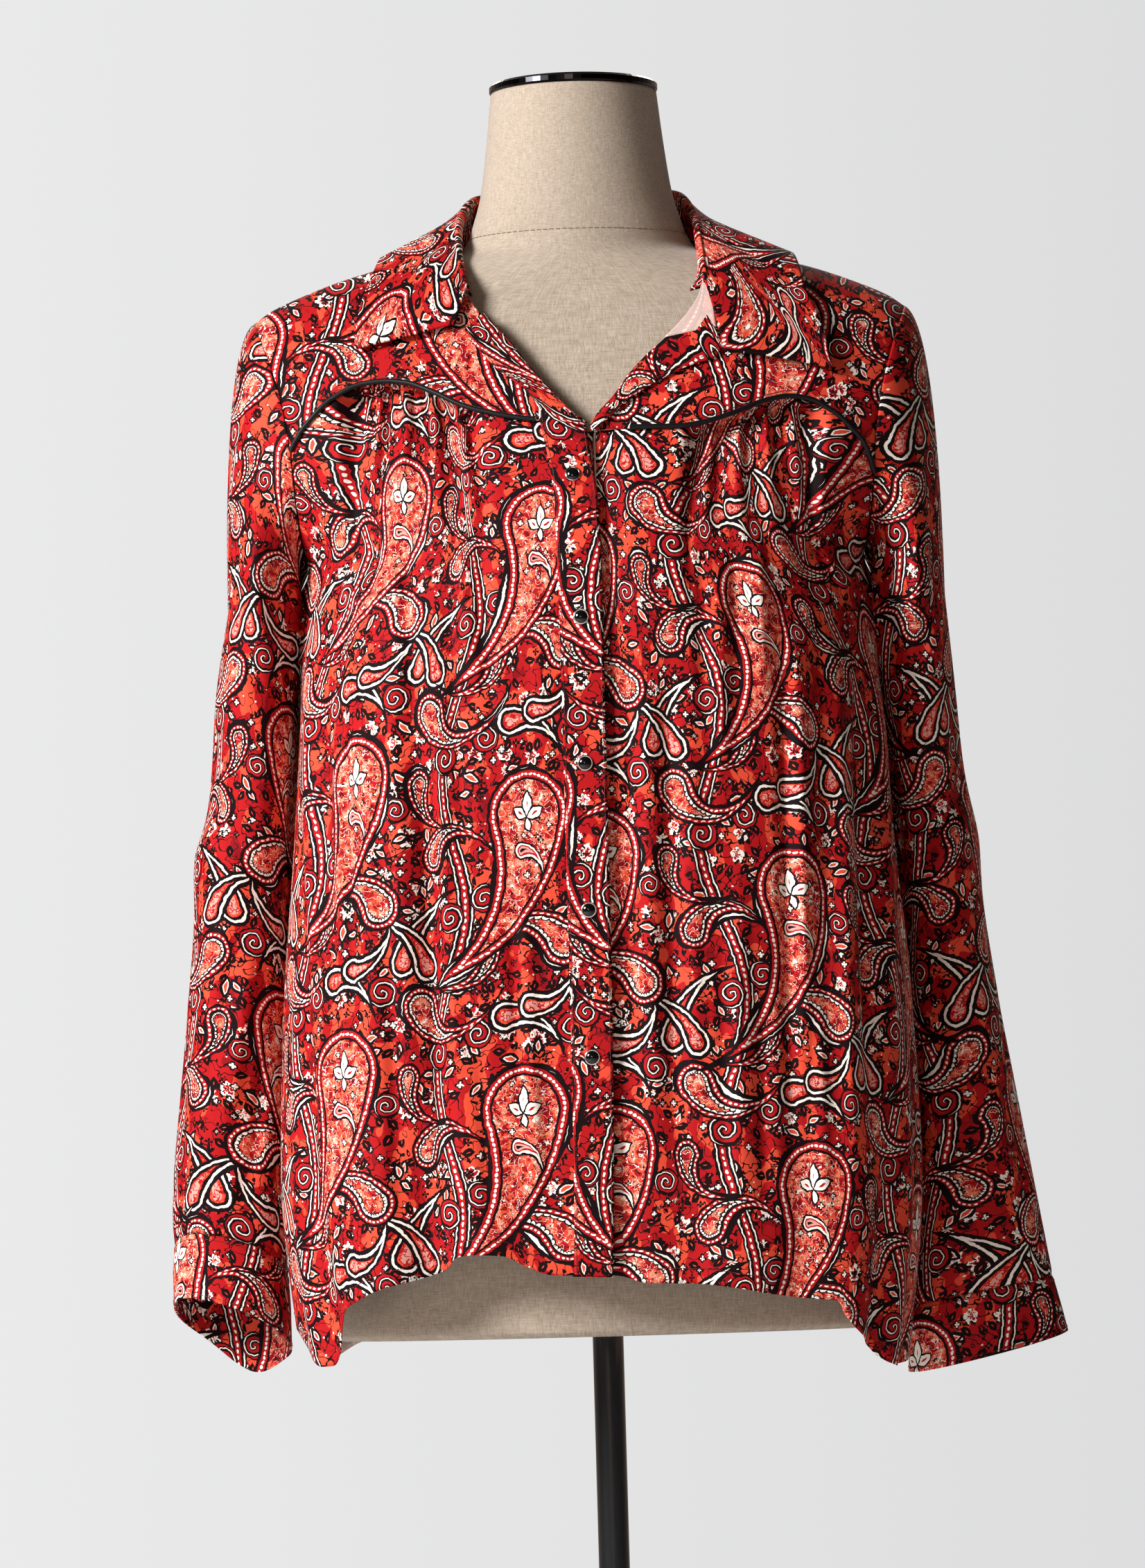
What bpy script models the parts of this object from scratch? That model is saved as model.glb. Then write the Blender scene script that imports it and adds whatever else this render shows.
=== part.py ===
"""A printed blouse worn on a limbless dress form with its stand.

The tables are in millimetres and MM turns them into Blender's metres. Heights in the
tables count up from the form's lower edge, which stands FORM_BASE above the floor. The
origin is on the floor under the pole, the front faces -Y, and the wearer's right is -X.
"""

from collections import namedtuple
from math import asin, cos, exp, pi, radians, sin

import bmesh
import bpy
from mathutils import Vector
from mathutils.bvhtree import BVHTree

MM = 0.001
FORM_BASE = 800.0  # floor to the form's lower edge

# Cloth
WALL = 1.2  # thickness of one layer of cloth as a solid
SEAM = 0.25  # each piece stops this far short of a side or shoulder seam
RIDGE_SEAM = 0.5  # the same on top of the shoulder, where the two walls lean together
ARMHOLE_SEAM = 1.0  # the sleeve starts this far outside the armhole
LAYER = 0.5  # air between two layers that lie on each other
UNDERLAP = 2.4  # the left front passes this far inside the right front
UNDERLAP_FADE = 34.0  # ... and is back on the surface this far from the middle

# Five press fasteners, evenly spaced down the front band
SNAP_TOP = 518.6
SNAP_PITCH = 87.9
SNAP_COUNT = 5
SNAP_RADIUS = 4.8
SNAP_DOME = 2.6
SNAP_PROFILE = ((0.0, 1.0), (0.4, 1.0), (0.8, 0.75), (1.0, 0.25), (1.0, 0.0), (0.0, 0.0))
SNAP_STEPS = 12

PIPING_RADIUS = 1.5
PIPING_START = 28.5  # from the middle; the front band and the lapel lie inside this
PIPING_POINTS = 22
PIPING_LIFT = 0.85

# Dress form and stand
CAP_LOW = 770.0
CAP_RADIUS = 52.4
CAP_RIM = 5.5
CAP_DOME = 2.5
POLE_RADIUS = 9.5
BASE_RADIUS = 170.0
BASE_PLATE = 9.0
HUB_RADIUS = 21.0
HUB_TOP = 42.0
TOUCH = 0.3  # gap between hard pieces that rest on each other
TURNED_STEPS = 64
MERGE = 0.00005  # metres, where a turned outline meets its axis

# The level where the armholes and the slope of the shoulders begin to shape the body
CHEST = 540.0

# Level sections of the cloth body: half width, how far the front and back lie from the
# form's axis, where it is widest, and how square its front and back corners are
Ring = namedtuple("Ring", "height width front back mid front_square back_square")
BODY = [
    Ring(-45, 178, 149, 132, -30, 3.0, 2.4),
    Ring(0, 186, 155, 136, -30, 3.0, 2.4),
    Ring(100, 195, 155, 134, -30, 3.0, 2.4),
    Ring(200, 192, 153, 129, -30, 2.9, 2.4),
    Ring(300, 184, 151, 123, -28, 2.8, 2.4),
    Ring(400, 177, 149, 117, -15, 2.7, 2.4),
    Ring(440, 174, 147, 116, -6, 2.6, 2.4),
    Ring(475, 172, 139, 115, 0, 2.6, 2.4),
    Ring(500, 186, 130, 114, 3, 2.5, 2.4),
    Ring(CHEST, 215, 117, 112, 5, 2.4, 2.4),
    Ring(580, 228, 99, 107, 5, 2.5, 2.5),
    Ring(620, 236, 76, 94, 5, 2.6, 2.6),
    Ring(650, 240, 50, 73, 5, 2.6, 2.6),
    Ring(662, 240, 35, 60, 5, 2.6, 2.6),
    Ring(671, 240, 18, 38, 5, 2.6, 2.6),
    Ring(676, 240, 5, 20, 5, 2.6, 2.6),
    Ring(678, 240, -5, 5, 5, 2.6, 2.6),
]

# The shoulder line from the side of the neck to the sleeve, seen from the front
Shoulder = namedtuple("Shoulder", "across height")
SHOULDER = [
    Shoulder(0, 678),
    Shoulder(80, 678),
    Shoulder(100, 671.5),
    Shoulder(120, 665),
    Shoulder(149, 656.5),
    Shoulder(172, 648),
    Shoulder(192, 639),
    Shoulder(202, 632),
]
NECK_SIDE = 80.0
SHOULDER_TIP = 202.0

# The armhole seam, the same on the front and the back
Armhole = namedtuple("Armhole", "height across")
ARMHOLE = [
    Armhole(475, 172),
    Armhole(495, 175),
    Armhole(517, 177),
    Armhole(541, 178.5),
    Armhole(575, 184),
    Armhole(600, 191),
    Armhole(620, 198),
    Armhole(632, 202),
]
UNDERARM = 475.0
TIP_HEIGHT = 632.0
BACK_ARMHOLE = (TIP_HEIGHT, 616.0, 597.0, 575.0, 550.0, 523.0, 498.0, UNDERARM)

# The neckline of each front, from the V up to the side of the neck
Neckline = namedtuple("Neckline", "height across")
RIGHT_NECKLINE = [
    Neckline(551.5, -3),
    Neckline(568, 16),
    Neckline(587, 31.7),
    Neckline(600, 40),
    Neckline(612, 49.5),
    Neckline(624, 60),
    Neckline(638, 68.6),
    Neckline(652, 74.5),
    Neckline(664, 78),
    Neckline(678, 80),
]
LEFT_NECKLINE = [
    Neckline(546.5, 4),
    Neckline(556, 10),
    Neckline(567, 19),
    Neckline(581, 29),
    Neckline(593, 40),
    Neckline(603, 51),
    Neckline(620, 66.5),
    Neckline(632, 73.5),
    Neckline(652, 78),
    Neckline(678, 80),
]
BACK_NECKLINE = [
    Neckline(661, 0),
    Neckline(662.5, 30),
    Neckline(669, 60),
    Neckline(678, 80),
]

# The curved yoke seam of each front, which the black piping follows
YokeSeam = namedtuple("YokeSeam", "across height")
RIGHT_YOKE_SEAM = [
    YokeSeam(-3, 551.5),
    YokeSeam(26.5, 553.5),
    YokeSeam(49, 557.3),
    YokeSeam(71, 564.3),
    YokeSeam(88.7, 573.6),
    YokeSeam(106, 580.8),
    YokeSeam(120, 582.6),
    YokeSeam(133, 581.6),
    YokeSeam(151, 573.8),
    YokeSeam(166, 560),
    YokeSeam(173, 551.5),
    YokeSeam(178.5, 541),
]
LEFT_YOKE_SEAM = [
    YokeSeam(4, 546.5),
    YokeSeam(27, 547.2),
    YokeSeam(55, 547.2),
    YokeSeam(71, 549.3),
    YokeSeam(84, 553),
    YokeSeam(97, 557.7),
    YokeSeam(110, 563),
    YokeSeam(126, 566),
    YokeSeam(137, 564.6),
    YokeSeam(150, 558),
    YokeSeam(164, 545.6),
    YokeSeam(171, 537),
    YokeSeam(177, 517),
]

# The front band: its free edge and its seam, up the front and on along the neckline
Band = namedtuple("Band", "along edge_x edge_h seam_x seam_h")
BAND = [
    Band(0, 3.9, 36, -19, 37),
    Band(64, 6.3, 100, -17.5, 100),
    Band(164, 8, 200, -17, 200),
    Band(264, 8.6, 300, -17, 300),
    Band(414, 9, 450, -17.3, 450),
    Band(469, 7.8, 505, -18.5, 505),
    Band(494, 4.4, 530, -21.5, 530),
    Band(514, 1.8, 549, -25.5, 551),
    Band(523, -4, 556, -27, 562),
    Band(537, -14.5, 568, -36, 574.5),
    Band(560, -30.2, 587, -50, 586),
    Band(583, -43.5, 606, -61.5, 600),
    Band(604, -58.5, 624, -70.5, 613),
]
BAND_STRAIGHT = 531.0  # above this height the band bends along the neckline
BAND_BEND_ROWS = 11
BAND_OVERHANG = 1.0  # the band's fold stands this far over the panel's edge

# The band of the left front, which lies under the other
UnderBand = namedtuple("UnderBand", "height edge_x seam_x")
UNDER_BAND = [
    UnderBand(40, -20, 2),
    UnderBand(150, -19, 5.6),
    UnderBand(300, -18, 6.4),
    UnderBand(450, -18, 6.7),
    UnderBand(545, -12, 7),
]

# The turned-out strip of the left front: the roll at the neckline and the free edge
Lapel = namedtuple("Lapel", "along roll_x roll_h edge_x edge_h")
LAPEL = [
    Lapel(0, 4, 548.5, 9, 545.5),
    Lapel(8, 9.2, 556.5, 15, 552),
    Lapel(24, 19.2, 567.5, 25, 561),
    Lapel(40, 29.3, 581.5, 38, 571),
    Lapel(56, 40.3, 593.5, 51, 578.5),
    Lapel(71, 51.3, 603.5, 67, 586),
    Lapel(87, 62, 615, 81, 590.5),
    Lapel(104, 72, 629, 87, 598),
]
LAPEL_ROWS = 14
LAPEL_LIFT = 1.0  # the turned cloth is soft and stands this far off the yoke

# The collar from the wearer's right front round the back to the left front: the point of
# the neckline that it stands on, the roll at its top, and the outer edge of its leaf
Collar = namedtuple("Collar", "face neck_x neck_h roll_x roll_y roll_h edge_x edge_h")
COLLAR = [
    Collar("front", -67.8, 637, -68.5, -62, 643.5, -75.6, 614),
    Collar("front", -71, 644, -71.2, -52, 653, -106, 607.5),
    Collar("front", -74, 651.5, -73.2, -40, 664, -136.3, 602),
    Collar("front", -76.5, 659.5, -74.2, -25, 676.5, -133, 628),
    Collar("front", -79, 670, -74, -9, 688.5, -126, 648),
    Collar("back", -78.5, 678, -72, 9, 699, -117, 665),
    Collar("back", -71, 674, -64, 35, 711, -98, 652),
    Collar("back", -40, 664, -38, 59, 717, -58, 646),
    Collar("back", 0, 661, 0, 67, 718, 0, 643),
    Collar("back", 40, 664, 38, 59, 717, 58, 646),
    Collar("back", 71, 674, 64, 35, 711, 100, 650),
    Collar("back", 78.5, 678, 72, 9, 698, 124, 661),
    Collar("front", 79.2, 668, 74.5, -9, 687, 138, 632),
    Collar("front", 78, 655, 75.5, -25, 675, 147, 605),
    Collar("front", 75.5, 647, 76.8, -41, 661, 150.5, 582),
    Collar("front", 73, 641.5, 77.3, -54, 651, 119, 588),
    Collar("front", 70, 637, 77.5, -63, 642, 86.5, 592.5),
]
CollarKey = namedtuple(
    "CollarKey", "key neck_x neck_y neck_z roll_x roll_y roll_z edge_x edge_y edge_z"
)
COLLAR_ROWS = 41
COLLAR_WALL = 1.0
COLLAR_LIFT = 4.5  # the leaf's middle above the yoke, clear of band and lapel
COLLAR_INSIDE = 2.4  # how far the stand's lower edge is inside the neck edge
ROLL_HALF = 2.6  # half the width of the roll
ROLL_DROP = 2.9
SHOULDER_LIFT = 7.0  # the leaf's height over the shoulder line
SHOULDER_NEAR = 16.0  # it counts as crossing this near the line
SHOULDER_FALL = 0.3  # slope of the leaf on either side of the shoulder line

# Folds that run down to the hem: the angle round the body in degrees (0 in front, positive
# towards the wearer's left), where the fold starts, its depth at the hem (a ridge is
# positive) and its half width in degrees
Fold = namedtuple("Fold", "top_angle hem_angle start depth spread")
FOLDS = [
    Fold(-29, -21.5, 490, -17, 6.0),
    Fold(-18, -12, 430, 6, 6.5),
    Fold(-10, -6.5, 400, -4.5, 4.0),
    Fold(-40, -33, 470, 5, 7.5),
    Fold(-60, -55, 430, -6, 5.5),
    Fold(-70, -66, 400, 3, 4.5),
    Fold(-87, -85, 420, 3.5, 8.0),
    Fold(9, 6.5, 420, -6, 4.0),
    Fold(17, 15, 400, 5, 7.5),
    Fold(30, 27, 430, -5, 4.5),
    Fold(46, 42, 470, 6, 8.0),
    Fold(58, 53, 430, -9, 5.5),
    Fold(67, 63, 400, 3, 4.5),
    Fold(79, 76, 440, -6, 5.5),
    Fold(-101, -104, 400, -5, 6.0),
    Fold(-119, -123, 470, 6, 9.0),
    Fold(-134, -139, 500, -9, 6.5),
    Fold(-150, -156, 430, 6, 8.0),
    Fold(-167, -171, 480, -8, 6.5),
    Fold(177, 174, 420, 6, 7.0),
    Fold(161, 157, 500, -9, 6.5),
    Fold(144, 139, 450, 6, 8.5),
    Fold(128, 124, 480, -8, 6.5),
    Fold(112, 108, 400, 4, 7.0),
    Fold(101, 103, 400, -4, 5.0),
]

# Small gathers held by the yoke seam
GATHER_START = 71.0
GATHER_END = 139.0
GATHER_COUNT = 6
GATHER_DEPTH = 2.6
GATHER_FADE = 40.0
GATHER_EDGE = 6.0  # they flatten into the seam over this height

# The hem all round, by the angle round the body
Hem = namedtuple("Hem", "angle height")
HEM = [
    Hem(-180, 3),
    Hem(-150, 2),
    Hem(-131, -1),
    Hem(-117, -11),
    Hem(-105, -5),
    Hem(-90, 11),
    Hem(-83, 8),
    Hem(-76, 0),
    Hem(-70, -8),
    Hem(-64, -13.5),
    Hem(-60, -13),
    Hem(-57, -6),
    Hem(-54, 8),
    Hem(-50, 20),
    Hem(-44, 26),
    Hem(-38, 31),
    Hem(-27, 38),
    Hem(-21, 43.5),
    Hem(-18.8, 50),
    Hem(-15, 51.3),
    Hem(-10.4, 50.3),
    Hem(-7.2, 44),
    Hem(-4, 38.3),
    Hem(0, 37.4),
    Hem(2.6, 32),
    Hem(9, 30.7),
    Hem(17, 26.3),
    Hem(22, 23.4),
    Hem(32, 19.8),
    Hem(37.8, 18.3),
    Hem(40.5, 9),
    Hem(45, 0),
    Hem(51, -6),
    Hem(55, -11),
    Hem(58, -16),
    Hem(62, -20.5),
    Hem(68, -22.5),
    Hem(76, -22),
    Hem(90, -19),
    Hem(105, -8),
    Hem(120, 5),
    Hem(150, 3),
    Hem(180, 3),
]

# Rows of the body panels, as shares of the way from the top edge to the hem
HEM_SPACING = 0.93  # below 1, the columns of a front stand closer at the side of the hem
PANEL_ROWS = (0, 0.004, 0.016, 0.036, 0.07, 0.12, 0.19, 0.28, 0.38, 0.49, 0.61, 0.74, 0.87, 1)
ANGLE_SETTLES = 380.0  # below this height a panel's columns run straight down

# Sleeves below the armhole: outer and inner side seen from the front, place and depth
# seen from the side, and how far the outer and the front side are lifted
SleeveRing = namedtuple("SleeveRing", "height outer inner mid_y depth outer_up front_up")
RIGHT_SLEEVE = [
    SleeveRing(450, 223, 180, 8, 74, 0, 0),
    SleeveRing(400, 232, 179.5, 14, 70, 0, 0),
    SleeveRing(350, 237, 180.5, 20, 66, 0, 0),
    SleeveRing(325, 240, 181, 23, 64, 0, 0),
    SleeveRing(300, 246, 182, 26, 62, 0, 0),
    SleeveRing(250, 251, 185, 30, 60, 0, 1),
    SleeveRing(200, 256.5, 187.5, 33, 58, 0, 3),
    SleeveRing(150, 262, 190.5, 33, 54, 0, 7),
    SleeveRing(100, 267, 193, 31, 49, 1, 12),
    SleeveRing(70, 268, 195.5, 28, 44, 5, 15),
    SleeveRing(50, 267, 197, 26, 40, 9, 15),
]
LEFT_SLEEVE = [
    SleeveRing(450, 221.5, 179, 8, 75, 0, 0),
    SleeveRing(400, 226, 178.5, 14, 71, 0, 0),
    SleeveRing(350, 230.5, 180.5, 21, 67, 0, 0),
    SleeveRing(300, 236.5, 183, 28, 63, 0, 0),
    SleeveRing(285, 238, 183.5, 29, 62, 0, 0),
    SleeveRing(250, 242, 186.5, 33, 60, 0, 0),
    SleeveRing(200, 249, 188, 37, 57, 1, 0),
    SleeveRing(150, 257, 191, 39, 53, 2, 0),
    SleeveRing(100, 265, 192.5, 40, 47, 4, 0),
    SleeveRing(55, 272, 191, 39, 38, 6, 0),
    SleeveRing(19.5, 277.5, 188, 38, 28, 8, 0),
]
SLEEVE_SQUARE = 2.2
CAP_ROWS = 5  # rows of the sleeve between the armhole and its first level ring
CAP_REACH = 18.0  # how far the sleeve's head runs on outwards before it turns down
CAP_FALL = 62.0  # how far above the first level ring the cloth already hangs straight

# Bends of the sleeves: which way round (0 outside, 90 in front, 180 inside), height,
# depth, half width in degrees and half height
SleeveFold = namedtuple("SleeveFold", "around height depth spread tall")
SLEEVE_FOLDS = [
    SleeveFold(60, 345, -5, 34, 30),
    SleeveFold(20, 300, 3, 30, 26),
    SleeveFold(110, 255, -5, 34, 60),
    SleeveFold(75, 190, 3, 30, 60),
    SleeveFold(100, 120, -5, 26, 70),
    SleeveFold(45, 110, -3, 22, 60),
    SleeveFold(250, 330, -5, 34, 40),
    SleeveFold(285, 230, 4, 34, 60),
    SleeveFold(260, 130, -6, 30, 70),
    SleeveFold(310, 140, -4, 24, 60),
]

# Cuffs, from the sleeve seam down
RIGHT_CUFF = [
    SleeveRing(50, 267, 197, 26, 40, 9, 15),
    SleeveRing(29.5, 268.5, 196, 26, 40, 11, 15),
    SleeveRing(9, 268.5, 196, 26, 41, 13, 14),
]
LEFT_CUFF = [
    SleeveRing(19.5, 277.5, 188, 38, 28, 8, 0),
    SleeveRing(0, 282, 187, 38, 27, 10, -1),
    SleeveRing(-18, 286, 186, 38, 27, 11.5, -3),
]
CUFF_ROWS = 4
CUFF_WALL = 1.6  # two layers
CUFF_DROOP = 11.0  # the right cuff's edge hangs down in a corner behind
CUFF_DROOP_TURN = 256.0
CUFF_DROOP_SPREAD = 30.0
CUFF_SEAM = 0.8

# Level sections of the dress form
FormRing = namedtuple("FormRing", "height width front back mid square")
FORM = [
    FormRing(0, 171, 108, 121, 0, 2.2),
    FormRing(4, 173, 110, 123, 0, 2.2),
    FormRing(60, 173, 111, 125, 0, 2.2),
    FormRing(120, 163, 108, 116, 0, 2.2),
    FormRing(180, 145, 104, 101, 0, 2.2),
    FormRing(230, 127, 99, 86, 0, 2.2),
    FormRing(270, 119, 97, 79, 0, 2.2),
    FormRing(320, 123, 105, 83, 0, 2.2),
    FormRing(370, 134, 122, 92, 0, 2.2),
    FormRing(430, 146, 138, 103, 0, 2.2),
    FormRing(480, 152, 128, 108, 0, 2.2),
    FormRing(530, 161, 109, 107, 0, 2.25),
    FormRing(570, 172, 92, 99, 0, 2.35),
    FormRing(600, 179, 77, 89, 0, 2.4),
    FormRing(620, 181, 65, 79, 1, 2.3),
    FormRing(634, 176, 56, 69, 3, 2.15),
    FormRing(643, 166, 51, 62, 4, 2.0),
    FormRing(650, 151, 49, 57, 5, 1.9),
    FormRing(657, 128, 48, 53, 5, 1.85),
    FormRing(662, 107, 47.5, 51.5, 5, 1.8),
    FormRing(667, 84, 47, 50, 5, 1.8),
    FormRing(672, 73, 47, 49.5, 5, 1.85),
    FormRing(679, 68.5, 47, 49.5, 4, 1.95),
    FormRing(688, 65, 47.5, 50, 3, 2.0),
    FormRing(705, 60, 49, 50.5, 2, 2.0),
    FormRing(735, 55.5, 50, 51.5, 1, 2.0),
    FormRing(CAP_LOW - TOUCH, 51.6, 50.6, 52.6, 1, 2.0),
]
FORM_COLUMNS = 36

Paint = namedtuple("Paint", "color roughness metallic")
PAINTS = {
    "printed_crepe": Paint((0.62, 0.07, 0.05), 0.62, 0.0),
    "satin_piping": Paint((0.012, 0.010, 0.012), 0.35, 0.0),
    "black_enamel": Paint((0.01, 0.01, 0.011), 0.12, 0.3),
    "linen_canvas": Paint((0.48, 0.40, 0.31), 0.85, 0.0),
    "dark_chrome": Paint((0.12, 0.12, 0.13), 0.18, 1.0),
    "black_steel": Paint((0.02, 0.022, 0.025), 0.28, 0.6),
}


# ---- reading the tables -------------------------------------------------------------


def hermite(share, start, end, slope_start, slope_end):
    """A cubic from start to end whose slopes are given per whole step."""
    s2 = share * share
    s3 = s2 * share
    return (
        (2 * s3 - 3 * s2 + 1) * start
        + (s3 - 2 * s2 + share) * slope_start
        + (3 * s2 - 2 * s3) * end
        + (s3 - s2) * slope_end
    )


def slope_at(keys, values, i):
    """The slope at row i that keeps the curve between its rows' values."""
    if i in (0, len(keys) - 1):
        j = min(max(i, 1), len(keys) - 1)
        return (values[j] - values[j - 1]) / (keys[j] - keys[j - 1])
    before = (values[i] - values[i - 1]) / (keys[i] - keys[i - 1])
    after = (values[i + 1] - values[i]) / (keys[i + 1] - keys[i])
    if before * after <= 0:
        return 0.0
    return 2 * before * after / (before + after)


def read(rows, key_name, at, name):
    """One column of a table at a value of its key column, smooth between the rows."""
    keys = [getattr(row, key_name) for row in rows]
    values = [getattr(row, name) for row in rows]
    at = min(max(at, keys[0]), keys[-1])
    i = next(k for k in range(1, len(keys)) if at <= keys[k])
    step = keys[i] - keys[i - 1]
    share = (at - keys[i - 1]) / step
    slope_start = slope_at(keys, values, i - 1) * step
    slope_end = slope_at(keys, values, i) * step
    return hermite(share, values[i - 1], values[i], slope_start, slope_end)


def ring_at(rows, height):
    """A whole ring of a table at any height, in a table that may run up or down."""
    rising = rows if rows[0].height < rows[-1].height else rows[::-1]
    kind = type(rows[0])
    names = [name for name in kind._fields if name != "height"]
    return kind(height, *[read(rising, "height", height, name) for name in names])


def mix(share, start, end):
    return start + (end - start) * share


def ease(share):
    """0 to 1 with a soft start and end."""
    share = min(max(share, 0.0), 1.0)
    return share * share * (3 - 2 * share)


# ---- the surface that the worn cloth follows ----------------------------------------


def shoulder_height(x):
    return read(SHOULDER, "across", abs(x), "height")


def shoulder_level(x, height):
    """The height measured in the middle that the shoulder's slope brings to this height."""
    if height <= CHEST:
        return height
    top = SHOULDER[0].height
    return CHEST + (height - CHEST) * (top - CHEST) / (shoulder_height(x) - CHEST)


def front_y(x, height):
    ring = ring_at(BODY, shoulder_level(x, height))
    across = min(abs(x) / ring.width, 1.0)
    flat = (1 - across**ring.front_square) ** (1 / ring.front_square)
    return ring.mid - (ring.front + ring.mid) * flat


def back_y(x, height):
    ring = ring_at(BODY, shoulder_level(x, height))
    across = min(abs(x) / ring.width, 1.0)
    flat = (1 - across**ring.back_square) ** (1 / ring.back_square)
    return ring.mid + (ring.back - ring.mid) * flat


def angle_of(x, height, back=False):
    """The angle round the body of a point of the front or the back, in degrees."""
    ring = ring_at(BODY, height)
    square = ring.back_square if back else ring.front_square
    turn = asin(min((abs(x) / ring.width) ** (square / 2), 1.0)) * 180 / pi
    turn = 180 - turn if back else turn
    return turn if x >= 0 else -turn


def bare_point(angle, height):
    """A point of the body before its folds."""
    ring = ring_at(BODY, height)
    across, ahead = sin(radians(angle)), cos(radians(angle))
    square = ring.front_square if ahead > 0 else ring.back_square
    x = ring.width * abs(across) ** (2 / square) * (1 if across >= 0 else -1)
    y = front_y(x, height) if ahead > 0 else back_y(x, height)
    return Vector((x, y, height))


def fold_depth(angle, height):
    """How far the folds push the cloth out at a point."""
    depth = 0.0
    for fold in FOLDS:
        fallen = ease((fold.start - height) / (fold.start - HEM[0].height))
        if fallen <= 0:
            continue
        centre = mix(fallen, fold.top_angle, fold.hem_angle)
        off = (angle - centre + 180) % 360 - 180
        depth += fold.depth * fallen * exp(-((off / fold.spread) ** 2))
    return depth


def plan_normal(angle, height):
    """The level direction in which the cloth faces at a point."""
    ahead = bare_point(angle + 1.5, height) - bare_point(angle - 1.5, height)
    return Vector((-ahead.y, ahead.x, 0)).normalized() * -1


def body_point(angle, height, out=0.0):
    point = bare_point(angle, height)
    return point + plan_normal(angle, height) * (fold_depth(angle, height) + out)


def front_point(x, height):
    """A point of the front at a place seen from the front."""
    return body_point(angle_of(x, height), height)


def armhole_x(height):
    return read(ARMHOLE, "height", height, "across")


# ---- making objects -----------------------------------------------------------------


def clear_scene():
    for old in list(bpy.data.objects):
        bpy.data.objects.remove(old, do_unlink=True)


def paint(name):
    material = bpy.data.materials.get(name)
    if material:
        return material
    look = PAINTS[name]
    material = bpy.data.materials.new(name)
    material.use_nodes = True
    shader = material.node_tree.nodes["Principled BSDF"]
    shader.inputs["Base Color"].default_value = (*look.color, 1)
    shader.inputs["Roughness"].default_value = look.roughness
    shader.inputs["Metallic"].default_value = look.metallic
    return material


def new_object(name, mesh, material, smooth=True):
    thing = bpy.data.objects.new(name, mesh)
    mesh.materials.append(paint(material))
    if smooth:
        mesh.shade_smooth()
    PARTS.objects.link(thing)
    return thing


def placed(point):
    """A table point in millimetres as a Blender point in metres."""
    return Vector((point[0], point[1], point[2] + FORM_BASE)) * MM


class Skin:
    """The outer side of panels that other pieces lie on."""

    def __init__(self, *sheets):
        points, faces = [], []
        for grid, flip in sheets:
            start, columns = len(points), len(grid[0])
            points += [point for row in grid for point in row]
            for i in range(len(grid) - 1):
                for j in range(columns - 1):
                    at = start + i * columns + j
                    corners = [at, at + columns, at + columns + 1, at + 1]
                    faces.append(corners[::-1] if flip else corners)
        self.tree = BVHTree.FromPolygons(points, faces)

    def height_of(self, point):
        """How far outside the panels a point lies, and which way is out there."""
        nearest, normal, _, _ = self.tree.find_nearest(point)
        return (point - nearest).dot(normal), normal

    def raised(self, point, lift):
        """The point brought to a given way outside the panels."""
        out, normal = self.height_of(point)
        return point + normal * (lift - out)

    def kept_off(self, point, lift):
        """The same for a point that may lie further out already."""
        out, normal = self.height_of(point)
        return point + normal * max(lift - out, 0.0)


def grid_mesh(name, grid, tube=False, flip=False):
    """Faces between the rows and columns of a grid of points."""
    mesh = bpy.data.meshes.new(name)
    shape = bmesh.new()
    rows = [[shape.verts.new(placed(point)) for point in row] for row in grid]
    columns = len(grid[0])
    for upper, lower in zip(rows, rows[1:]):
        for i in range(columns if tube else columns - 1):
            j = (i + 1) % columns
            corners = [upper[i], lower[i], lower[j], upper[j]]
            shape.faces.new(corners[::-1] if flip else corners)
    shape.to_mesh(mesh)
    shape.free()
    return mesh


def cloth(name, grid, wall=WALL, tube=False, flip=False, centred=False, material="printed_crepe"):
    """A piece of cloth: an open sheet through a grid of points, given its thickness."""
    thing = new_object(name, grid_mesh(name, grid, tube, flip), material)
    solid = thing.modifiers.new("thickness", "SOLIDIFY")
    solid.thickness = wall * MM
    solid.offset = 0.0 if centred else -1.0
    solid.use_rim = True
    return thing


def turned(name, profile, material, steps=TURNED_STEPS):
    """A round piece from an outline of radius and height, outer side down from the top."""
    mesh = bpy.data.meshes.new(name)
    points = [(radius * MM, 0, height * MM) for radius, height in profile]
    edges = [(i, i + 1) for i in range(len(points) - 1)]
    mesh.from_pydata(points, edges, [])
    thing = new_object(name, mesh, material, smooth=False)
    screw = thing.modifiers.new("turn", "SCREW")
    screw.steps = steps
    screw.render_steps = steps
    screw.use_merge_vertices = True
    screw.merge_threshold = MERGE
    screw.use_smooth_shade = True
    return thing


# ---- fronts, yokes and back ---------------------------------------------------------

Side = namedtuple("Side", "name sign neckline yoke_seam seam_end")
RIGHT = Side("right", -1, RIGHT_NECKLINE, RIGHT_YOKE_SEAM, 541.0)
LEFT = Side("left", 1, LEFT_NECKLINE, LEFT_YOKE_SEAM, 517.0)

YOKE_ROWS = 9
ARMHOLE_COLUMNS = 4  # columns of a front that end on the armhole below its yoke
ARMHOLE_SPACING = 0.8  # below 1, they stand closer at the underarm
INNER_COLUMNS = (0.0, 14.0, 27.0, 41.0, 56.0)  # across, from the middle to the gathers
OUTER_COLUMNS = (150.0, 160.0, 168.0, 173.5)  # and from the gathers to the armhole
COLUMNS_PER_GATHER = 3
YOKE_SEAM_GAP = 1.15  # the piping covers this gap


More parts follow.
